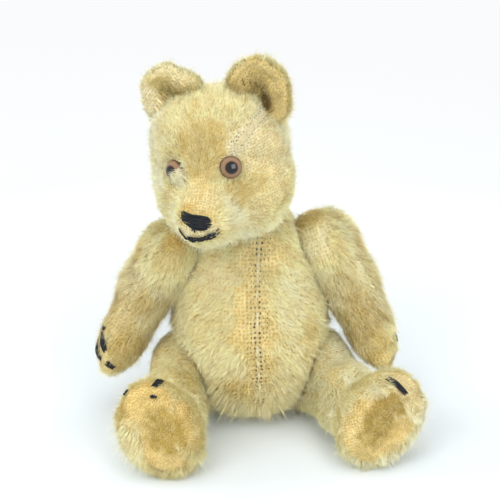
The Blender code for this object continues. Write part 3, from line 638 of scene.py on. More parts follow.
BALD = dict(felt=0.0, long=0.0)
WEAR = {
    "head": [
        # Partly paler fur and partly painted light on this side of the head.
        ((8, -17, 25), (13, 9, 15), dict(pale=1.0, long=0.3)),
        ((2, 18, 28), (9, 7, 12), dict(pale=0.7, long=0.3)),
        ((18.5, 1.5, 33.5), (6, 8, 5), dict(brown=0.45, gold=0.3)),
        ((23, 1.5, 27), (4, 5, 4), dict(brown=0.42, gold=0.2)),
        ((21.0, -6.0, 22.5), (3.2, 3.0, 3.0), dict(long=1.0, pale=0.9)),
        ((15, -14, 28), (4, 4, 4), dict(gold=0.30)),
        ((13, 16, 28.5), (9, 6.5, 8), dict(bare=0.85, pale=0.25)),
        ((12.5, 19.5, 20), (8, 5, 9), dict(bare=0.85, gold=0.15)),
        ((19, 15.5, 13), (5, 6, 5.5), dict(bare=0.75, gold=0.15)),
        ((21.7, 11.1, 8.5), (5, 4.5, 3.5), dict(bare=0.5, pale=0.4)),
        ((16.5, 10.5, 31.5), (5, 4, 3.5), dict(bare=0.7, pale=0.2)),
        ((24, 11, 17.5), (4.0, 5, 3.6), dict(bare=0.0, brown=0.60)),
        ((17.8, 16.2, 19.5), (3.6, 3.6, 2.4), dict(bare=0.1, brown=0.55)),
        ((26, 0, 23), (4, 4, 3), dict(bare=0.45, gold=0.3)),
        ((30, 0.3, 20), (5.5, 5.5, 3.6), dict(bare=0.85, gold=0.25, dark=0.10)),
        ((27, -7.5, 13), (5, 4, 5), dict(pale=0.65)),
        ((28, 8, 14), (4, 4, 4), dict(pale=0.6)),
        ((34.5, 0, 13), (3.5, 5, 2.2), dict(bare=0.85, pale=0.5)),
        ((20, 0, 3.5), (18, 17, 4.5), dict(pale=0.45, long=0.6)),
        *[(spot, (3.6, 2.6, 2.6), dict(bare=0.90, pale=0.8, gold=0.0, brown=0.0))
          for spot in ((6.5, 15.2, 33.7), (11, 14, 33.2), (15, 12.4, 31.9), (18, 10.3, 30.2))],
        ((33.5, -3.0, 19.2), (2.2, 2.4, 1.6), dict(bare=0.9, gold=1.0)),
    ],
    "torso": [
        ((-14, -16, 40), (9, 7, 9), dict(gold=0.25, brown=0.1)),
        ((10, -18, 44), (5, 6, 9), dict(pale=0.30)),
        # Partly a paler, worn patch and partly painted light that lifts the shade under the
        # chin.
        ((-11.4, -13.8, 51.1), (7, 7, 5), dict(gold=0.4, bare=0.30, pale=0.9, brown=0.0)),
        ((16, -15, 30), (3.5, 6, 9), dict(brown=0.45, gold=0.2)),
        # Painted shade: the low belly made darker where less light falls; its longer, browner
        # pile is the cloth's own.
        ((0, -18, 12), (21, 12, 12), dict(long=0.8, pale=0.0, brown=0.22, dark=0.16)),
        ((2.5, -14, 57), (7.5, 8, 6), dict(bare=0.75, gold=0.35)),
        ((-0.5, -20, 44), (5.5, 6, 7), dict(bare=0.75, gold=0.5)),
        ((0.5, -21, 35), (6.2, 6, 8), dict(bare=0.85, gold=0.55)),
        ((2.2, -22, 24), (3.8, 6, 9), dict(bare=0.78, gold=0.5)),
        ((1.5, -22, 14), (2.8, 6, 5), dict(bare=0.65, gold=0.3)),
        ((-4.4, -22, 16.5), (4, 5, 4), dict(bare=0.8, gold=0.8)),
    ],
    "arm_right": [
        # Painted shade over the arm's middle and lower length.
        ((24, 2, 9), (18, 12, 12), dict(dark=0.22)),
        ((8, 0, 14), (16, 9, 6), dict(long=0.5, pale=0.35)),
        ((-4.1, 8.2, 8.8), (3, 3, 3), dict(gold=0.8, bare=0.5)),
        ((13.5, 7.9, 4.3), (3, 3, 3), dict(dark=0.35)),
        ((13.6, 7.7, 12.1), (5, 3, 3), dict(bare=0.4, gold=0.2)),
        ((24, 5, 13), (8, 5, 4), dict(bare=0.6, gold=0.5)),
        ((30, 7, 9), (8, 4, 5), dict(bare=0.6, gold=0.4)),
        ((40, 4, 10), (6, 6, 6), dict(bare=0.75, gold=0.4, long=0.0)),
    ],
    "arm_left": [
        # Painted shade over the arm's middle and lower length.
        ((24, 2, 9), (18, 12, 12), dict(dark=0.26)),
        ((8, -1, 14), (19, 10, 7), dict(long=0.9, pale=0.45, dark=0.0)),
        ((12, 8, 9), (6, 4, 4), dict(brown=0.35)),
        ((-3, 9.2, 5.5), (5.5, 4, 5), dict(bare=0.60, pale=0.45, brown=0.0)),
        ((8.2, 6.5, 13.2), (3, 3, 3), dict(bare=0.35, pale=0.3)),
        ((16.9, 6.3, 13.8), (5, 3, 3), dict(bare=0.5, pale=0.2)),
        ((22, 8, 10), (8, 4, 4), dict(bare=0.45, gold=0.2)),
        ((27, 7.7, 8.7), (7, 5, 6), dict(brown=0.60, dark=0.22)),
        ((38, 5, 9), (8, 8, 8), dict(dark=0.02)),
        ((40.5, 5, 9), (5, 5, 5.5), dict(bare=0.85, gold=0.6)),
    ],
    "leg_right": [
        ((7.8, 7.1, 14.9), (6, 6, 5), dict(bare=0.45, gold=0.6)),
        ((20, 8, 8), (18, 16, 16), dict(pale=0.15, brown=0.15)),
        ((44, -2, 10), (7, 18, 18), dict(long=0.9, pale=0.10, dark=0.08)),
        ((48.5, 4.5, 5.5), (3, 9, 6.5), dict(felt=1.0, brown=0.95, long=0.0, pale=0.0)),
        ((44.5, 13, 12.5), (6, 6, 8), dict(BALD, bare=0.97, gold=0.9, pale=0.0)),
        ((47.5, 2, 11.5), (3, 9, 2.6), dict(BALD, bare=0.95, gold=0.8)),
        ((47.5, -6.5, 6), (3, 4, 5), dict(BALD, bare=0.95, gold=0.8)),
        ((46.5, 7, 0.3), (4, 9, 3), dict(BALD, bare=0.95, gold=0.85)),
    ],
    "leg_left": [
        # Partly a paler thigh and partly painted light that lifts the shade of the arm and
        # belly over it.
        ((20, 8, 8), (18, 16, 16), dict(pale=0.55, brown=0.05)),
        ((44, -2, 10), (7, 18, 18), dict(long=0.9, pale=1.0)),
        ((48.5, 6, 5), (3, 10, 7.5), dict(felt=1.0, brown=1.0, dark=0.25, long=0.0, pale=0.0)),
        ((46, 4.0, -3.0), (5, 11.5, 6.4), dict(BALD, bare=0.97, gold=0.7, pale=0.2)),
        ((45, 13, 14.5), (6, 6, 6.5), dict(BALD, bare=0.93, gold=0.35, pale=0.3)),
        *[(spot, (4, 4.0, 4.6), dict(BALD, bare=0.97, gold=0.8, pale=0.0))
          for spot in ((46.5, -6.5, 2.5), (47.0, -3, 7.5), (47.2, 1.5, 12.8))],
    ],
}

FUR = linear(252, 243, 188)
GOLD_FUR = linear(248, 228, 156)
BROWN_FUR = linear(220, 192, 107)
PALE_FUR = linear(253, 250, 220)
SHADE_AND_DARK_FUR = linear(138, 112, 62)
BACKING = linear(226, 206, 142)
BARE = linear(242, 228, 178)
BARE_PALE = linear(252, 244, 208)
BARE_GOLD = linear(238, 209, 134)
BARE_BROWN = linear(200, 172, 94)
RAGGED = ((0.22, 2.6, 40), (0.10, 1.1, 80))
PATCH_EDGE = (1.30, 0.75)


def toward(colours, target, share):
    return colours + (target - colours) * np.clip(share, 0.0, 1.0)[:, None]


def wear_and_shade_of(name, local, points):
    """What the cloth is like at each point of a part, with painted shade in the creases
    between parts and in some patches.
    """
    cloth = {quality: np.zeros(len(local)) for quality in QUALITIES}
    mottled = (0.20, 0.38) if name.startswith("arm") else (0.08, 0.20)
    cloth["brown"] += np.maximum(mottled[0] + mottled[1] * waves(local, 4.5, 7), 0.0)
    for index, (middle, radii, changes) in enumerate(WEAR[name]):
        reach = np.linalg.norm((local - middle) / radii, axis=1)
        for most, size, seed in RAGGED:
            reach += most * waves(local, size, seed + index)
        share = ease(*PATCH_EDGE, reach)
        for quality, value in changes.items():
            cloth[quality] += (value - cloth[quality]) * share
    # Painted shade: cloth and pile turn dark where another part comes close, in the creases
    # between parts.
    crease_shade = ease(2.0, 0.2, room_at(points, name))
    cloth["dark"] = np.maximum(cloth["dark"], 0.65 * crease_shade)
    cloth["brown"] += 0.16 * waves(local, 1.9, 9)
    cloth["pale"] += 0.18 * waves(local, 7.0, 8) + 0.22 * waves(local, 2.2, 10)
    return {quality: np.clip(values, 0.0, 1.0) for quality, values in cloth.items()}


def fur_colour(cloth):
    colours = FUR
    # The dark quality, mostly painted shade, draws the pile towards a shaded dark fur.
    for quality, target in (("pale", PALE_FUR), ("gold", GOLD_FUR), ("brown", BROWN_FUR),
                            ("dark", SHADE_AND_DARK_FUR)):
        colours = toward(colours, target, cloth[quality])
    return colours


def backing_colour(cloth):
    colours = BACKING
    # The dark quality, mostly painted shade, darkens the backing too.
    for target, share in ((FUR, 0.6 * cloth["pale"]), (BARE, cloth["bare"]),
                          (BARE_PALE, cloth["bare"] * cloth["pale"]),
                          (BARE_GOLD, cloth["gold"]), (BARE_BROWN, cloth["brown"]),
                          (SHADE_AND_DARK_FUR * 0.6, cloth["dark"])):
        colours = toward(colours, target, share)
    return colours


# ---- skins

FINENESS = {"torso": 48, "head": 50, "arm": 32, "leg": 40}
LUMPS = ((0.38, 5.5, 21), (0.14, 2.4, 22))


def ball_axes(axis):
    helper = (1.0, 0.0, 0.0) if abs(axis[0]) < 0.7 else (0.0, 1.0, 0.0)
    first = unit(np.cross(helper, axis))
    return np.array([first, np.cross(axis, first), axis])


def near_line(points, line):
    """Distance from each point to the nearest of a line's places."""
    return np.min([np.linalg.norm(points - place, axis=1) for place in line], axis=0)


def seam_relief(name, local, points):
    """How far the skin dips along its seams."""
    if name == "torso":
        front = points[:, 1] < 0.0
        aside = np.abs(points[:, 0] - np.where(front, seam_aside(points[:, 2]), 0.0))
        return -0.30 * ease(1.6, 0.2, aside)
    if name == "head":
        return 0.25 * ease(1.8, 0.4, near_line(points, FOREHEAD_LINE))
    return np.zeros(len(local))


def seam_aside(height):
    """How far the torso's front seam stands to the bear's left at a height."""
    return 1.1 + 1.2 * ((height - 36.0) / 26.0) ** 2


def soft_skin(name):
    """Places, quads and local places of a part's skin, with its small lumps."""
    field, axes, core = FIELDS[name], FRAMES[name], CORES[name]
    balls, quads = ball(FINENESS[name.split("_")[0]])
    start, end = from_frame([core[0]], axes)[0], from_frame([core[1]], axes)[0]
    axis = unit(end - start)
    balls = balls @ ball_axes(axis)
    share = 0.5 + 0.5 * np.clip(balls @ axis, -1.0, 1.0)
    points = surface_along(field, start + (end - start) * share[:, None], balls)
    points = settled(name, points)[0]
    return points, quads, to_frame(points, axes)


def swept(name, local, points):
    """Near 0 where a leg passes as it swings at its hip, and 1 clear of its path."""
    if name.startswith("leg"):
        return 0.15 + 0.85 * ease(11.0, 19.0, local[:, 0])
    clear = np.ones(len(points))
    if name == "torso":
        for side, sign in SIDES.items():
            aside = np.linalg.norm(to_frame(points, hip_frame(side))[:, :2], axis=1)
            beyond = ease(HIP_REACH + 0.5, HIP_REACH + 5.0, aside)
            clear *= np.where(points[:, 0] * sign > 0.0, beyond, 1.0)
    return clear


def settled(name, points):
    """Places on a plain form moved to the lumpy skin, and the form's normals there."""
    local, normals = to_frame(points, FRAMES[name]), outward_at(FIELDS[name], points)
    free = ease(0.4, 2.6, room_at(points, name)) * ease(0.0, 1.5, points[:, 2])
    free = free * swept(name, local, points)
    lumps = sum(most * waves(local, size, seed) for most, size, seed in LUMPS)
    points = points + normals * ((lumps + seam_relief(name, local, points)) * free)[:, None]
    points[:, 2] = np.maximum(points[:, 2], 0.0)
    return points, normals


def grain_of(name, local, quads):
    """Two distances along the cloth at each corner of each face, in mm."""
    corners = local[quads]
    across = np.abs(np.cross(corners[:, 2] - corners[:, 0], corners[:, 3] - corners[:, 1]))
    faced = across.argmax(axis=1)
    grain = np.zeros_like(corners)
    for axis in range(3):
        here = faced == axis
        grain[here, :, :2] = corners[here][..., [k for k in range(3) if k != axis]]
    if name == "head":
        grain *= 1.35
    if name.startswith("leg"):
        turn, scale = 0.6, np.where(corners[:, :1, 0] > 45.0, 1.8, 1.35)
        first, second = grain[..., 0] * scale, grain[..., 1] * scale
        grain[..., 0] = first * cos(turn) + second * sin(turn)
        grain[..., 1] = second * cos(turn) - first * sin(turn)
    return grain.reshape(-1, 3)


def add_skin(name):
    points, quads, local = soft_skin(name)
    cloth = wear_and_shade_of(name, local, points)
    data = mesh_of(f"{name}_skin", points, quads)
    paint(data, "tint", backing_colour(cloth))
    paint(data, "worn", cloth["bare"] * (1.0 - cloth["felt"]), "FLOAT")
    paint(data, "grain", grain_of(name, local, quads), "FLOAT_VECTOR", "CORNER")
    skin = piece(f"{name}_skin", data, name, CLOTH, [f"{name}_cover"])
    return points, quads, local, cloth


FOREHEAD_LINE = from_frame([(4.9, 15.6, 33.8), (9.5, 14.6, 33.4), (13.3, 13.2, 32.6),
                            (16.2, 11.6, 31.3), (18.4, 10.0, 29.9)], HEAD)

# ---- pile

# Strands; their length, and what long pile adds to it; their lean from the skin in
# degrees, and what long pile adds; the share of strays; how far clumps draw tips
# together, and what long pile adds.
Pile = namedtuple("Pile", "strands length longer lean leaner strays pull closer")
PILES = {"torso": Pile(84000, 2.9, 1.3, 32, 5, 0.08, 0.24, 0.22),
         "head": Pile(84000, 2.0, 1.2, 32, 16, 0.08, 0.17, 0.22),
         "arm": Pile(42000, 2.6, 1.3, 36, 16, 0.12, 0.24, 0.0),
         "leg": Pile(48000, 2.2, 1.2, 32, 16, 0.12, 0.12, 0.0),
         "ear": Pile(16000, 1.7, 0.6, 36, 16, 0.12, 0.24, 0.0)}
CLUMP, CLUMP_LIMITS, THREAD_CLEAR = 6, (0.05, 0.8), 1.5
BARE_THINS, BARE_SHORTENS, FELT_SHORTENS = 0.93, 0.5, 0.72
LENGTH_SPREAD, SHADE_SPREAD, OFF_FLOOR = (0.55, 1.15), 0.06, 0.05
STRAY_LONGER, STRAY_THINNER = (1.3, 1.9), 0.6
LEAN_SPREAD, LEAN_LIMITS, STRAY_LIFT = 9, (8, 78), 26  # in degrees
YAW_SPREAD, TIP_TILT, MIDDLE_TILT = 0.30, -0.12, 0.22  # in radians
STRAND_WIDTHS = (0.09, 0.145)
# Painted shade darkens each strand towards its root and leaves it a little lighter at its tip;
# then the brightest a strand may be.
STRAND_ROOT_TO_TIP_SHADE, STRAND_BRIGHTEST = (0.86, 0.97, 0.97, 1.04), 0.96


def comb_of(name, local, points, normals):
    """Which way the pile leans, along the skin."""
    if name == "torso":
        aside = points[:, 0] - seam_aside(points[:, 2])
        spread = np.tanh(aside / 4.0) * np.where(points[:, 1] < 0, 0.85, 0.1)
        way = np.stack([spread, 0 * spread, -np.ones(len(spread))], 1)
    elif name == "head":
        away = unit(local - (37.0, 0.0, 13.0))
        away[:, 2] -= 1.3 * ease(9.0, 4.0, local[:, 2])
        for side, most in (("left", 0.6), ("right", 1.0)):
            off = local - to_frame(eye_frame(side)[0][None, :], HEAD)
            over = most * ease(7.0, 4.2, np.linalg.norm(off, axis=1))
            if side == "right":
                over = over * ease(-2.0, 1.5, off[:, 1] - off[:, 2])
            away = away * (1 - over)[:, None] - 1.5 * unit(off) * over[:, None]
        way = away @ HEAD[1]
    elif name.startswith("arm"):
        way = np.array([[1.0, 0.0, 0.15]]) @ FRAMES[name][1]
    else:
        out = local - (0.0, 1.8, 9.0)
        out[:, 0] = 9.0
        sole = ease(44.0, 47.0, local[:, 0])[:, None]
        thigh = ease(40.0, 28.0, local[:, 0])[:, None]
        out = unit(out) * (1 - thigh) + np.array((0.35, -0.5, 0.8)) * thigh
        out = out * (1 - sole) + np.array((0.0, -0.6, 0.3)) * sole
        way = out @ FRAMES[name][1]
    return along_skin(way + 0.35 * wobble(points, 4.0, 31), normals)


def kept_clear(name):
    """Lines of threads and buttons on a part, and how far the pile keeps from each."""
    if name == "head":
        nose = on_face(np.linspace(-4.0, 4.0, 9)[:, None], np.linspace(14.8, 17.6, 4), GAP)
        across = np.linspace(-1.1, 1.0, 16)
        mouth = on_face(MOUTH_HALF * across, mouth_height(across), GAP)
        eyes = [(eye_frame(side)[0][None, :], EYE_RADIUS) for side in SIDES]
        return [(nose.reshape(-1, 3), THREAD_CLEAR), (mouth, THREAD_CLEAR), *eyes]
    return [(claw_line(name, *claw)[0], THREAD_CLEAR) for claw in CLAWS.get(name, ())]


def scatter(points, quads, weight, count, spin):
    """Random places on the skin, more where the weight is higher, and how to mix there."""
    corners = np.concatenate([quads[:, [0, 1, 2]], quads[:, [0, 2, 3]]])
    a, b, c = (points[corners[:, i]] for i in range(3))
    area = np.linalg.norm(np.cross(b - a, c - a), axis=1) * weight[corners].mean(axis=1)
    pick = corners[spin.choice(len(corners), count, p=area / area.sum())]
    first, second = spin.random((2, count))
    over = first + second > 1.0
    first, second = np.where(over, 1 - first, first), np.where(over, 1 - second, second)
    share = np.stack([1.0 - first - second, first, second], 1)
    order = in_rows((points[pick] * share[:, :, None]).sum(axis=1))
    pick, share = pick[order], share[order]

    def mixed(values):
        values = np.asarray(values)
        if values.ndim == 1:
            return (values[pick] * share).sum(axis=1)
        return (values[pick] * share[:, :, None]).sum(axis=1)

    return mixed


def clumps(roots, tips, pull, spin):
    """Tips drawn some way towards the tip of a strand near their root, and that strand."""
    leaders = spin.choice(len(roots), len(roots) // CLUMP, replace=False)
    tree = KDTree(len(leaders))
    for index, leader in enumerate(leaders):
        tree.insert(roots[leader], index)
    tree.balance()
    nearest = leaders[np.array([tree.find(root)[1] for root in roots])]
    return tips + (tips[nearest] - tips) * pull[:, None], nearest


def blades(roots, middles, tips, normals, width, spin):
    """Thin kites that bend at their middle: places and triangles."""
    along = unit(tips - roots)
    across = unit(np.cross(along, normals))
    lift = np.cross(across, along)
    turn = spin.uniform(-0.4, 0.4, len(roots))[:, None]
    across = (across * np.cos(turn) + lift * np.sin(turn)) * (width / 2)[:, None]
    places = np.stack([roots, middles + across, middles - across, tips], 1)
    base = np.arange(len(roots))[:, None] * 4
    return places.reshape(-1, 3), (base + [0, 1, 2, 1, 3, 2]).reshape(-1, 3)


def in_rows(places):
    """An order in which neighbours in a square grid are neighbours on the bear."""
    wide = int(np.ceil(len(places) ** 0.5))
    around = np.arctan2(*(places - places.mean(axis=0))[:, :2].T)
    by_height = np.argsort(places[:, 2])
    rows = [by_height[i:i + wide] for i in range(0, len(places), wide)]
    return np.concatenate([row[np.argsort(around[row])] for row in rows])


def bake_cells(count):
    """A cell of the baked image for each strand: a place for each of its corners."""
    wide = int(np.ceil(count ** 0.5))
    corner = np.stack([np.arange(count) % wide, np.arange(count) // wide], 1)[:, None, :]
    inside = np.array([(0.5, 0.08), (0.85, 0.5), (0.15, 0.5), (0.5, 0.92)])
    return ((corner + inside[None]) / wide).reshape(-1, 2)


def add_strands(name, body, places, faces, colours, shades, brightest):
    """One piece of strands, each with painted shade from its root to its tip."""
    data = mesh_of(name, places, faces)
    tint = np.clip(colours[:, None, :] * np.array(shades)[:, None], 0.0, brightest)
    paint(data, "strand", tint.reshape(-1, 3))
    cells = bake_cells(len(colours))[faces.ravel()].astype(np.float32)
    data.uv_layers.new(name="OFBake").data.foreach_set("uv", cells.ravel())
    piece(name, data, body, PILE)


def thickness(name, part, points, normals, cloth):
    """How thickly the pile grows: thin where bare, none in creases and under threads."""
    weight = (1.0 - BARE_THINS * cloth["bare"]) * ease(0.35, 0.9, room_at(points, part))
    weight *= 1.0 - 0.9 * ((points[:, 2] < 0.5) & (normals[:, 2] < -0.5))
    for line, reach in kept_clear(name):
        weight *= ease(0.6 * reach, reach, near_line(points, line))
    return weight


def add_pile(name, body, points, quads, local, cloth, seed, comb=None, part=None):
    """The pile of a skin; an ear's pile has its own comb and keeps clear as the head's."""
    pile, part, spin = PILES[name.split("_")[0]], part or name, np.random.default_rng(seed)
    normals = point_normals(points, quads)
    if comb is None:
        comb = comb_of(name, local, points, normals)
    count, weight = pile.strands, thickness(name, part, points, normals, cloth)
    mixed = scatter(points, quads, weight, count, spin)
    roots, out, way = mixed(points), unit(mixed(normals)), unit(mixed(comb))
    at = {quality: mixed(values) for quality, values in cloth.items()}
    length = pile.length * (1 + 0.18 * mixed(waves(points, 4.5, 61)))
    length = (length + pile.longer * at["long"]) * spin.uniform(*LENGTH_SPREAD, count)
    length *= (1 - BARE_SHORTENS * at["bare"]) * (1 - FELT_SHORTENS * at["felt"])
    if name == "torso":
        length *= ease(-3.0, 7.0, roots[:, 2])
    lean = radians(pile.lean) + radians(LEAN_SPREAD) * spin.normal(size=count)
    lean += radians(pile.leaner) * at["long"]
    stray = spin.random(count) < pile.strays
    length = length * np.where(stray, spin.uniform(*STRAY_LONGER, count), 1.0)
    lean = np.clip(lean + radians(STRAY_LIFT) * stray, *np.radians(LEAN_LIMITS))
    yaw = (spin.normal(size=count) * YAW_SPREAD)[:, None]
    way = unit(way * np.cos(yaw) + np.cross(out, way) * np.sin(yaw))

    def reach(share, tilt):
        angle = (lean + tilt)[:, None]
        return roots + (out * np.sin(angle) + way * np.cos(angle)) * (length * share)[:, None]

    for _ in range(3):
        crossing = room_at(reach(1.0, TIP_TILT), part) < FACE_AT
        length = np.where(crossing, length * 0.55, length)
    tips, middles = reach(1.0, TIP_TILT), reach(0.5, MIDDLE_TILT)
    pull = np.where(stray, 0.05, pile.pull + pile.closer * at["long"] - 0.15 * at["bare"])
    drawn, leader = clumps(roots, tips, np.clip(pull, *CLUMP_LIMITS), spin)
    middles = middles + (drawn - tips) * 0.4
    for ends in (drawn, middles):
        ends[:, 2] = np.maximum(ends[:, 2], OFF_FLOOR)
    width = spin.uniform(*STRAND_WIDTHS, count) * np.where(stray, STRAY_THINNER, 1.0)
    places, faces = blades(roots - out * 0.1, middles, drawn, out, width, spin)
    clump_shade = (1 + SHADE_SPREAD * spin.normal(size=count))[leader]
    shade = np.clip(clump_shade * (1 + SHADE_SPREAD * spin.normal(size=count)), 0.65, 1.3)
    colours = toward(fur_colour(at), PALE_FUR, 0.5 * stray) * shade[:, None]
    add_strands(f"{name}_pile", body, places, faces, colours, STRAND_ROOT_TO_TIP_SHADE, STRAND_BRIGHTEST)


def add_skin_and_pile():
    for seed, name in enumerate(FIELDS, 100):
        add_pile(name, name, *add_skin(name), seed)


# ---- ears

def ear_wear_and_shade(side, balls):
    """The ears' own wear: woven lobes, matted brown inside, pale fuzz behind, and painted
    shade in the hollow and at the root.
    """
    outer, high, front = balls.T
    rim = np.hypot(outer, high)
    ragged = 0.22 * waves(balls, 0.30, 5) + 0.16 * waves(balls, 0.13, 6)
    cloth = {quality: np.zeros(len(balls)) for quality in QUALITIES}
    facing = ease(0.0, 0.3, front)
    if side == "right":
        lobe = ease(0.00, 0.25, outer - 0.2 * high + ragged)
        edge = ease(0.55, 0.80, rim - 0.4 * outer + ragged) * ease(-0.1, 0.3, high)
        bare = np.maximum(lobe, 0.75 * edge)
        cloth["bare"] = 0.85 * bare * ease(-0.4, 0.0, front)
        cloth["pale"] = 0.95 * bare
        cloth["gold"] = 0.25 * bare
        cloth["brown"] = 0.38 * facing * (1 - bare)
        # Painted shade in the ear's hollow.
        hollow = np.linalg.norm((balls[:, :2] - (-0.25, -0.10)) / (0.55, 0.25), axis=1)
        cloth["dark"] = 0.08 * facing * ease(1.2, 0.4, hollow)
    else:
        speckled = ease(-0.15, 0.30, 0.7 * (rim - 0.55) + 0.15 * outer + 1.3 * ragged)
        cloth["bare"] = facing * (0.35 + 0.40 * speckled)
        cloth["gold"] = 0.55 * speckled
        cloth["brown"] = facing * (0.50 - 0.42 * speckled)
        # Painted shade in the ear's hollow and along its root, under the head's pile.
        hollow = np.linalg.norm((balls[:, :2] - (0.27, 0.0)) / (0.24, 0.20), axis=1)
        root = ease(0.10, -0.30, high + 0.3 * outer + ragged)
        cloth["dark"] = facing * np.maximum(ease(1.15, 0.6, hollow), 0.22 * root)
    behind = ease(0.30, 0.0, front)
    cloth["pale"] = np.maximum(cloth["pale"], 0.75 * behind)
    cloth["long"] = 1.4 * behind * ease(-0.7, -0.2, front)
    return cloth


def ear_form(side):
    """The ear's places, quads, ball places and the way its pile leans."""
    sign, angle = SIDES[side], radians(EAR_ANGLE[side])
    ahead, left, up = HEAD[1]
    skull = SKULL_HUB[0]
    out = left * sign * sin(angle) + up * cos(angle)
    wide = left * sign * cos(angle) - up * sin(angle)
    wide_r, high_r = EAR_SHOWN[side]
    balls, quads = ball(26)
    rim = np.hypot(balls[:, 0], balls[:, 1]) + 1e-9
    spread = (1.0 - EAR_PLUMP / wide_r) * np.sin(rim * pi / 2) + EAR_PLUMP / wide_r * rim
    across, tall = (balls[:, :2] * (spread / rim)[:, None]).T
    root = EAR_ROOT[side][0] + EAR_ROOT[side][1] * ease(0.1, 0.9, across)
    height = np.maximum(tall * high_r, -root)
    share = (height + root) / (high_r + root)
    narrow = 1.0 - 0.14 * ease(0.5, 0.0, share)
    forward = EAR_CUP * across ** 2 + EAR_CURL * share ** 2 - EAR_BACK
    slope = 2.0 * EAR_CUP * across / wide_r
    lean = balls[:, 2] * EAR_PLUMP / np.hypot(1.0, slope)
    dent = ease(1.0, 0.1, np.hypot(across / 0.55, (share - 0.25) / 0.45))
    lean = lean - 2.3 * dent * ease(0, 0.4, balls[:, 2])
    aside = across * wide_r * narrow - lean * slope
    flat = skull + np.outer(aside, wide) + np.outer(forward + lean, ahead)
    on_skull = (surface_along(head_field, flat, out, 1.3 * GAP) - flat) @ out
    crown = (surface_along(head_field, skull, out) - skull)[0] @ out
    rise = crown + (on_skull - crown) * (1.0 - EAR_DROOP * share) + height
    rise = rise + EAR_ROOT[side][0] - EAR_SINK[side]
    rise = rise - EAR_LEAN[side] * aside * (0.3 + 0.7 * share)
    places = flat + np.outer(rise, out)
    if sign < 0:
        quads = quads[:, ::-1]
    normals = point_normals(places, quads)
    lumps = waves(balls, 0.45, 12) + 0.5 * waves(balls, 0.2, 13)
    plump = 0.35 * ease(0.0, 0.3, share) * lumps
    places = places + normals * plump[:, None]
    way = np.outer(balls[:, 0], wide) + np.outer(balls[:, 1] + 0.5, out)
    return places, quads, balls, along_skin(way + 0.5 * wobble(balls, 0.25, 14), normals)


# Where the stitches start, their radius and their tint.
EAR_STITCHES = {
    "left": ([(-0.42, 0.10), (-0.25, 0.12), (-0.10, 0.10), (0.02, 0.14), (0.50, -0.10)],
             0.20, (0.42, 0.32, 0.22)),
    "right": ([(0.30, 0.02), (0.45, -0.10), (0.58, -0.24), (0.66, -0.42), (0.10, 0.04)],
              0.34, (1.25, 1.22, 1.12)),
}
EAR_STITCH_REACH = 0.22


def add_ear_stitches(side, places, balls, normals):
    """Short stitches over the ear's front where it is sewn down."""
    spots, radius, tint = EAR_STITCHES[side]
    spin = np.random.default_rng(84)
    paths = []
    for outer, high in spots:
        way = unit(np.array((outer * 0.8 - 0.1, high + 0.6)) + 0.15 * spin.normal(size=2))
        path = []
        for share in np.linspace(0.0, 1.0, 7):
            off = balls[:, :2] - (np.array((outer, high)) + way * share * EAR_STITCH_REACH)
            near = np.argsort((off ** 2).sum(axis=1) + 9.0 * (balls[:, 2] < 0))[:4]
            bulge = 0.25 + 0.5 * radius * sin(pi * share)
            path.append((places[near] + normals[near] * bulge).mean(axis=0))
        paths.append(path)
    add_threads(f"ear_stitches_{side}", "head", CREAM,
                [(paths, tapered(7, radius, 0.6), tint)])


def add_ear(side):
    name = f"ear_{side}"
    places, quads, balls, way = ear_form(side)
    cloth = ear_wear_and_shade(side, balls)
    data = mesh_of(f"{name}_skin", places, quads)
    paint(data, "tint", backing_colour(cloth))
    paint(data, "worn", cloth["bare"], "FLOAT")
    scale = 1.35 * np.array((*EAR_SHOWN[side], 0.0))
    paint(data, "grain", (balls * scale)[quads].reshape(-1, 3), "FLOAT_VECTOR", "CORNER")
    skin = piece(f"{name}_skin", data, "head", CLOTH, [name])
    add_pile(name, "head", places, quads, places, cloth, 150 + len(side), way, "head")
    add_ear_stitches(side, places, balls, point_normals(places, quads))


# ---- eyes

PUPIL = (0.004, 0.005, 0.007, 1.0)


def glass_material():
    """Amber glass over a painted ring and a black pupil, uneven at their edges."""
    n = new_material("amber_glass")
    place = n.place()
    uneven = n.math("MULTIPLY", n.math("SUBTRACT", n.noise(place, 1500.0, 3.0), 0.5), 0.10)
    ring = n.math("ADD", n.attribute("ring"), uneven)
    grain = n.noise(place, 2400.0, 3.0)
    light = n.mix(grain, rgba(linear(162, 128, 98)), rgba(linear(132, 102, 74)))
    iris = n.mix(n.span(ring, 0.84, 0.99), light, rgba(linear(82, 58, 42)))
    inner = n.mix(n.span(ring, 0.54, 0.64), rgba(linear(92, 62, 44)), iris)
    colour = n.mix(n.span(ring, 0.48, 0.53), PUPIL, inner)
    return n.finish(colour, 0.25, Coat_Weight=1.0, Coat_Roughness=0.05, Coat_IOR=1.5,
                    Specular_IOR_Level=0.0)


def eye_frame(side):
    """The eye's place on its socket, with its third axis out of the face."""
    aim = eye_direction(side) @ HEAD[1]
    point = surface_along(head_field, SKULL_HUB, aim)[0]
    helper = unit(np.cross(HEAD[1][2], aim))
    return point + aim * (GAP + EYE_SEAT), np.array([helper, np.cross(aim, helper), aim])


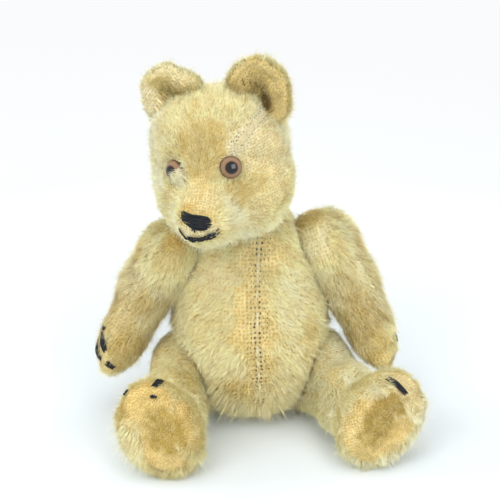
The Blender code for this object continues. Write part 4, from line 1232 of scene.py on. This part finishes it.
def add_eye(side, material):
    """A domed glass button: a turned profile of rings."""
    turns = 48
    angles = np.linspace(0.0, pi / 2, 18)
    profile = [(EYE_RADIUS * sin(a), EYE_EDGE + EYE_DOME * cos(a)) for a in angles[1:]]
    profile += [(EYE_RADIUS, EYE_EDGE * 0.4), (EYE_RADIUS - 0.2, 0.0), (EYE_RADIUS * 0.5, 0.0)]
    round_by = np.arange(turns) * 2 * pi / turns
    rings = [np.stack([r * np.cos(round_by), r * np.sin(round_by), 0 * round_by + z], 1)
             for r, z in profile]
    points = np.concatenate([[(0.0, 0.0, EYE_EDGE + EYE_DOME)], *rings, [(0.0, 0.0, 0.0)]])
    faces = []
    for k in range(turns):
        after = (k + 1) % turns
        faces.append((0, 1 + k, 1 + after))
        for ring in range(len(profile) - 1):
            a, b = 1 + ring * turns, 1 + (ring + 1) * turns
            faces += [(a + k, b + k, b + after), (a + k, b + after, a + after)]
        last = 1 + (len(profile) - 1) * turns
        faces.append((len(points) - 1, last + after, last + k))
    data = mesh_of(f"eye_glass_{side}", from_frame(points, eye_frame(side)), faces)
    paint(data, "ring", np.hypot(points[:, 0], points[:, 1]) / EYE_RADIUS, "FLOAT")
    piece(f"eye_glass_{side}", data, "head", material, [f"eye_{side}"])


def add_eye_tuft():
    """Pale hairs from the cheek that lie over the lower corner of the sunk eye."""
    spin = np.random.default_rng(81)
    count = 230
    axes = eye_frame("right")
    angle = radians(-42) + radians(30) * spin.normal(size=count)
    ring = np.stack([np.cos(angle), np.sin(angle), np.zeros(count)], 1)
    starts = from_frame(ring * spin.uniform(3.5, 4.7, (count, 1)), axes)
    roots = surface_along(head_field, SKULL_HUB, unit(starts - SKULL_HUB))
    tips = ring * spin.uniform(0.2, 3.2, (count, 1)) + 0.35 * spin.normal(size=(count, 3))
    tips[:, 0] -= 0.3
    over = np.clip(1.0 - (tips[:, :2] ** 2).sum(axis=1) / EYE_RADIUS ** 2, 0.0, 1.0)
    tips[:, 2] = EYE_EDGE + EYE_DOME * np.sqrt(over) + spin.uniform(0.15, 0.7, count)
    middles = ring * 3.3 + 0.15 * spin.normal(size=(count, 3))
    middles[:, 2] = EYE_EDGE + 1.5 + 0.3 * spin.random(count)
    width = spin.uniform(0.10, 0.18, count)
    places, faces = blades(roots, from_frame(middles, axes), from_frame(tips, axes),
                           axes[1][2:], width, spin)
    colours = (PALE_FUR + FUR) / 2 * (1 - 0.25 * spin.random((count, 1)))
    # Painted shade darkens each hair towards its root.
    add_strands("eye_tuft", "head", places, faces, colours, (0.85, 0.97, 0.97, 1.0), 1.0)


# ---- threads

def on_face(left, up, lift):
    """Places on the face in front of head coordinates, lifted off the cloth."""
    left, up = np.broadcast_arrays(np.asarray(left, float), np.asarray(up, float))
    start = from_frame(np.stack([np.full(left.shape, MUZZLE[0][0]), left, up], -1), HEAD)
    ahead = surface_along(head_field, start.reshape(-1, 3), HEAD[1][0])
    places, normals = settled("head", ahead)
    lift = np.broadcast_to(lift, left.shape).reshape(-1, 1)
    return (places + normals * lift).reshape(*left.shape, 3)


def add_threads(name, body, material, groups, replaces=()):
    """One piece from groups of threads: paths, radii and a tint for each group."""
    points, faces, tints, base = [], [], [], 0
    for paths, radii, tint in groups:
        places, quads = tubes(paths, radii)
        points.append(places)
        faces.append(quads + base)
        tints.append(np.repeat([tint], len(places), axis=0))
        base += len(places)
    data = mesh_of(name, np.concatenate(points), np.concatenate(faces))
    paint(data, "tint", np.concatenate(tints))
    return piece(name, data, body, material, replaces)


PLAIN, FADED = (1.0, 1.0, 1.0), (9.0, 9.5, 9.5)


def tapered(length, radius, tip=0.45):
    """Radii along a thread that narrows to both ends."""
    share = np.linspace(-1.0, 1.0, length)
    return radius * (1.0 - (1.0 - tip) * np.abs(share) ** 4)


def add_nose():
    """Worn satin stitches side by side over the muzzle's tip, some of them gone."""
    spin = np.random.default_rng(71)
    rows, steps = 15, 14
    paths = []
    gaps = {3: (-0.80, -0.25), 4: (-0.80, -0.50), 6: (-0.9, -0.72), 10: (0.05, 0.2)}
    for row in range(rows):
        rise = -1.0 + 2.0 * row / (rows - 1)
        edge = 1.0 - 0.14 * spin.random()
        spans = [(-edge, edge)]
        if row in gaps:
            spans = [(-edge, gaps[row][0]), (gaps[row][1], edge)]
        for first, last in spans:
            across = np.linspace(first, last, steps)
            half = 4.4 - 1.2 * ease(0.2, 1.0, -rise) - 0.5 * ease(0.3, 1.0, rise)
            up = 15.95 + 1.5 * rise * (1.0 - 0.25 * across ** 2) - 0.95 * across
            up = up + 0.16 * np.sin(3.0 * across + spin.uniform(0, 6))
            lift = GAP + 0.26 + 0.30 * spin.random() + 0.15 * (1 - across ** 2)
            paths.append(on_face(half * across, up, lift))
    drop = [on_face(np.linspace(a, a - 0.2, steps), np.linspace(15.4, b, steps), GAP + 0.35)
            for a, b in ((-0.2, 13.4), (-0.7, 13.9))]
    groups = [(paths, tapered(steps, 0.29), PLAIN), (drop, tapered(steps, 0.30), PLAIN)]
    add_threads("nose_threads", "head", BLACK, groups, ["nose_stitching"])


MOUTH_HALF, MOUTH_STITCH = 5.0, 0.12


def mouth_height(across):
    """How high the smile's line stands on the muzzle, from -1 to 1 across it."""
    return 10.7 + 1.5 * across ** 2


def add_mouth():
    """Lines of short stitches in a smile, frayed and faded at its two ends."""
    spin = np.random.default_rng(72)
    black, grey, steps = [], [], 7
    for line in (-0.66, -0.24, 0.18, 0.60):
        for start in np.arange(-1.34, 0.95, MOUTH_STITCH):
            start = start + spin.uniform(-0.04, 0.04)
            thin = start < -0.66 or start > 0.74
            if spin.random() < (0.62 if thin else 0.04):
                continue
            across = np.linspace(start, start + 0.19 * spin.uniform(0.7, 1.1), steps)
            wide = line * (0.75 if thin else 1.0)
            up = mouth_height(across) + wide + 0.10 * spin.normal()
            up = up + 0.3 * spin.normal() * (across - start)
            path = on_face(MOUTH_HALF * across, up, GAP + 0.28 + 0.08 * spin.random())
            (grey if start > 0.60 and spin.random() < 0.5 else black).append(path)
    groups = [(black, tapered(steps, 0.26), PLAIN), (grey, tapered(steps, 0.22), FADED)]
    add_threads("mouth_threads", "head", BLACK, groups, ["mouth_stitching"])


# Each claw's first and last direction from the middle of the paw or foot.
CLAWS = {
    "arm_right": [((-0.45, 0.15, 1.0), (-0.3, 0.15, 1.0)),
                  ((-0.15, 0.4, 1.0), (0.6, 1.0, 0.66)),
                  ((0.33, -0.15, 1.0), (1.3, 0.45, 0.7)),
                  ((1.3, 0.9, 0.4), (1.3, 0.95, -0.1))],
    "arm_left": [((0.5, -0.1, 1.0), (0.8, -0.1, 0.9))],
    "leg_right": [((-0.15, 1.0, 1.0), (0.0, 1.0, 1.0)),
                  ((-0.15, 1.0, -0.3), (0.25, 1.0, -0.1)),
                  ((0.55, 1.0, -0.15), (0.68, 1.0, -0.15))],
    "leg_left": [((0.3, 1.0, -0.14), (1.08, 1.0, 0.34))],
}
CLAW_MIDDLE = {"arm": (34.0, 1.0, 8.5), "leg": (40.0, 6.0, 9.5)}


def claw_line(name, start, end, first=0.0, last=1.0):
    """Places along a claw on the skin of a limb, and the form's normals there."""
    axes = FRAMES[name]
    shares = np.linspace(first, last, 9)[:, None]
    ways = unit(np.array(start) * (1 - shares) + np.array(end) * shares) @ axes[1]
    middle = from_frame([CLAW_MIDDLE[name[:3]]], axes)
    return settled(name, surface_along(FIELDS[name], middle, ways))


def add_claws(limb, word, side):
    """Each claw is a flat bundle of black threads, uneven at its ends."""
    name = f"{limb}_{side}"
    for number, (start, end) in enumerate(CLAWS[name], 1):
        spin = np.random.default_rng(90 + number)
        paths = []
        for lane in range(6):
            first, last = spin.uniform(-0.16, 0.16), spin.uniform(0.84, 1.16)
            places, normals = claw_line(name, start, end, first, last)
            along = unit(np.gradient(places, axis=0))
            bend = 0.14 * np.sin(np.linspace(0, 5, 9) + spin.uniform(0, 6))[:, None]
            aside = np.cross(along, normals) * ((lane - 2.5) * 0.30 + bend)
            paths.append(places + aside + normals * (GAP + 0.36 + 0.14 * (lane % 2)))
        add_threads(f"{word}_claw_threads_{side}_{number}", name, BLACK,
                    [(paths, tapered(9, 0.27), PLAIN)], [f"{word}_claw_{side}_{number}"])


# ---- seams

CORD_PITCH, CORD_LIFT, FRAY_BAND = 1.9, 0.22, 0.5
CORD_TINT, FRAY_TINT = (1.08, 1.12, 1.22), (1.06, 1.08, 1.14)


def twisted(path, normals, radius):
    """Two strands wound round a line on the skin."""
    path = path + normals * CORD_LIFT
    along = unit(np.gradient(path, axis=0))
    aside = np.cross(along, normals)
    run = np.concatenate([[0.0], np.cumsum(np.linalg.norm(np.diff(path, axis=0), axis=1))])
    strands = []
    for start in (0.0, pi):
        turn = (2 * pi * run / CORD_PITCH + start)[:, None]
        strands.append(path + (aside * np.cos(turn) + normals * np.sin(turn)) * radius)
    return np.array(strands)


def pits(places, normals, along, radius):
    """Needle holes beside a seam, as flat six-sided spots."""
    turn = (np.arange(6) * pi / 3)[:, None]
    aside = np.cross(along, normals)[:, None]
    ring = along[:, None] * np.cos(turn) * 1.25 + aside * np.sin(turn)
    ring = places[:, None] + radius * ring
    points = np.concatenate([ring, places[:, None]], axis=1) + normals[:, None] * 0.22
    base = np.arange(len(places))[:, None, None] * 7
    corner = np.stack([np.full(6, 6), np.arange(6), (np.arange(6) + 1) % 6], 1)
    return points.reshape(-1, 3), (base + corner).reshape(-1, 3)


def front_seam_base():
    heights = np.arange(64.0, 5.0, -0.3)
    start = np.stack([seam_aside(heights), np.full(len(heights), -1.0), heights], 1)
    return surface_along(torso_field, start, (0.0, -1.0, 0.0))


def add_seam(name, part, base, spread, cord_radius, spacing, columns):
    """A cord between rows of needle holes, in a band of frayed ends."""
    places, normals = settled(part, base)
    spin = np.random.default_rng(len(name))
    along = unit(np.gradient(places, axis=0))
    aside = np.cross(along, normals)
    whole = twisted(places, normals, cord_radius)
    cord = np.concatenate([whole[:, start:start + 8] for start in range(0, len(base) - 8, 7)
                           if spin.random() < 0.72])
    fray = []
    for _ in range(int(len(base) * spread)):
        at = spin.integers(2, len(base) - 2)
        way = along[at] * spin.normal() * 0.7 + aside[at] * spin.normal()
        way = unit(way + normals[at] * 0.30)
        bend = unit(way + 0.5 * spin.normal(size=3))
        step = np.linspace(0.0, 1.0, 5)[:, None]
        reach = spin.uniform(0.7, 1.7)
        start = places[at] + normals[at] * 0.25 + aside[at] * FRAY_BAND * spin.normal()
        fray.append(start + way * step * reach * 0.6 + bend * step ** 2 * reach * 0.5)
    add_threads(f"{name}_cord", part, CREAM,
                [(cord, tapered(8, cord_radius, 0.3), CORD_TINT),
                 (fray, tapered(5, 0.07), FRAY_TINT)])
    field, points, faces, first = FIELDS[part], [], [], 0
    for gap, radius, kept in columns:
        run = np.arange(2, len(base) - 2, spacing)
        run = run[spin.random(len(run)) < kept]
        spots = base[run] + aside[run] * gap + 0.10 * spin.normal(size=(len(run), 3))
        spots, slopes = settled(part, spots - outward_at(field, spots) * field(spots)[:, None])
        ring, fans = pits(spots, slopes, along[run], radius)
        points.append(ring)
        faces.append(fans + first)
        first += len(ring)
    data = mesh_of(f"{name}_holes", np.concatenate(points), np.concatenate(faces))
    piece(f"{name}_holes", data, part, PIT)


# For each column of holes: its gap from the seam, the holes' radius and the share kept.
FRONT_HOLES = [(-0.75, 0.36, 0.97), (0.75, 0.33, 0.95), (-1.9, 0.18, 0.7), (2.0, 0.18, 0.8),
               (-3.1, 0.19, 0.7), (3.2, 0.14, 0.5)]
FOREHEAD_HOLES = [(-1.1, 0.17, 0.8), (1.1, 0.17, 0.8), (1.9, 0.15, 0.6)]


def add_details():
    glass = glass_material()
    for side in SIDES:
        add_ear(side)
        add_eye(side, glass)
        add_claws("arm", "paw", side)
        add_claws("leg", "foot", side)
    add_eye_tuft()
    add_nose()
    add_mouth()
    add_seam("front_seam", "torso", front_seam_base(), 1.2, 0.24, 5, FRONT_HOLES)
    steps = np.linspace(0.0, 1.0, 60)[:, None]
    line = FOREHEAD_LINE[0] * (1 - steps) + FOREHEAD_LINE[-1] * steps
    on_skull = surface_along(head_field, SKULL_HUB, unit(line - SKULL_HUB))
    add_seam("forehead_seam", "head", on_skull, 2.6, 0.07, 4, FOREHEAD_HOLES)


# ---- what is inside

def inside_material(name, light, dark, scale, roughness, metallic=0.0, depth=0.0001):
    """Streaks of two colours along a distorted wave."""
    n = new_material(name)
    place = n.place()
    wave = n.add("ShaderNodeTexWave", Vector=place, Scale=scale, Distortion=14.0, Detail=3.0,
                 Detail_Scale=2.0)
    grain = n.noise(place, scale * 2.0, 4.0)
    share = n.math("MULTIPLY", wave.outputs["Fac"], grain)
    colour = n.mix(n.span(share, 0.1, 0.5), rgba(dark), rgba(light))
    return n.finish(colour, n.span(grain, 0.3, 0.7, roughness, min(1.0, roughness + 0.15)),
                    share, depth, Metallic=metallic)


def finish_inside():
    """Materials for the stuffing, discs, washers, pins and wires, kept as CAD has them."""
    wool = inside_material("wood_wool", linear(214, 186, 132), linear(128, 98, 58), 420.0, 0.9,
                           depth=0.0006)
    board = inside_material("hardboard", linear(150, 112, 74), linear(96, 68, 44), 260.0, 0.75)
    steel = inside_material("dull_steel", (0.50, 0.49, 0.47), (0.30, 0.27, 0.24), 900.0, 0.38,
                            metallic=1.0, depth=0.00003)
    for name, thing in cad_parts.items():
        if thing.hide_render:
            continue
        kind = wool if "stuffing" in name else board if "_disc_" in name else steel
        thing.data.materials.clear()
        thing.data.materials.append(kind)


add_skin_and_pile()
add_details()
finish_inside()
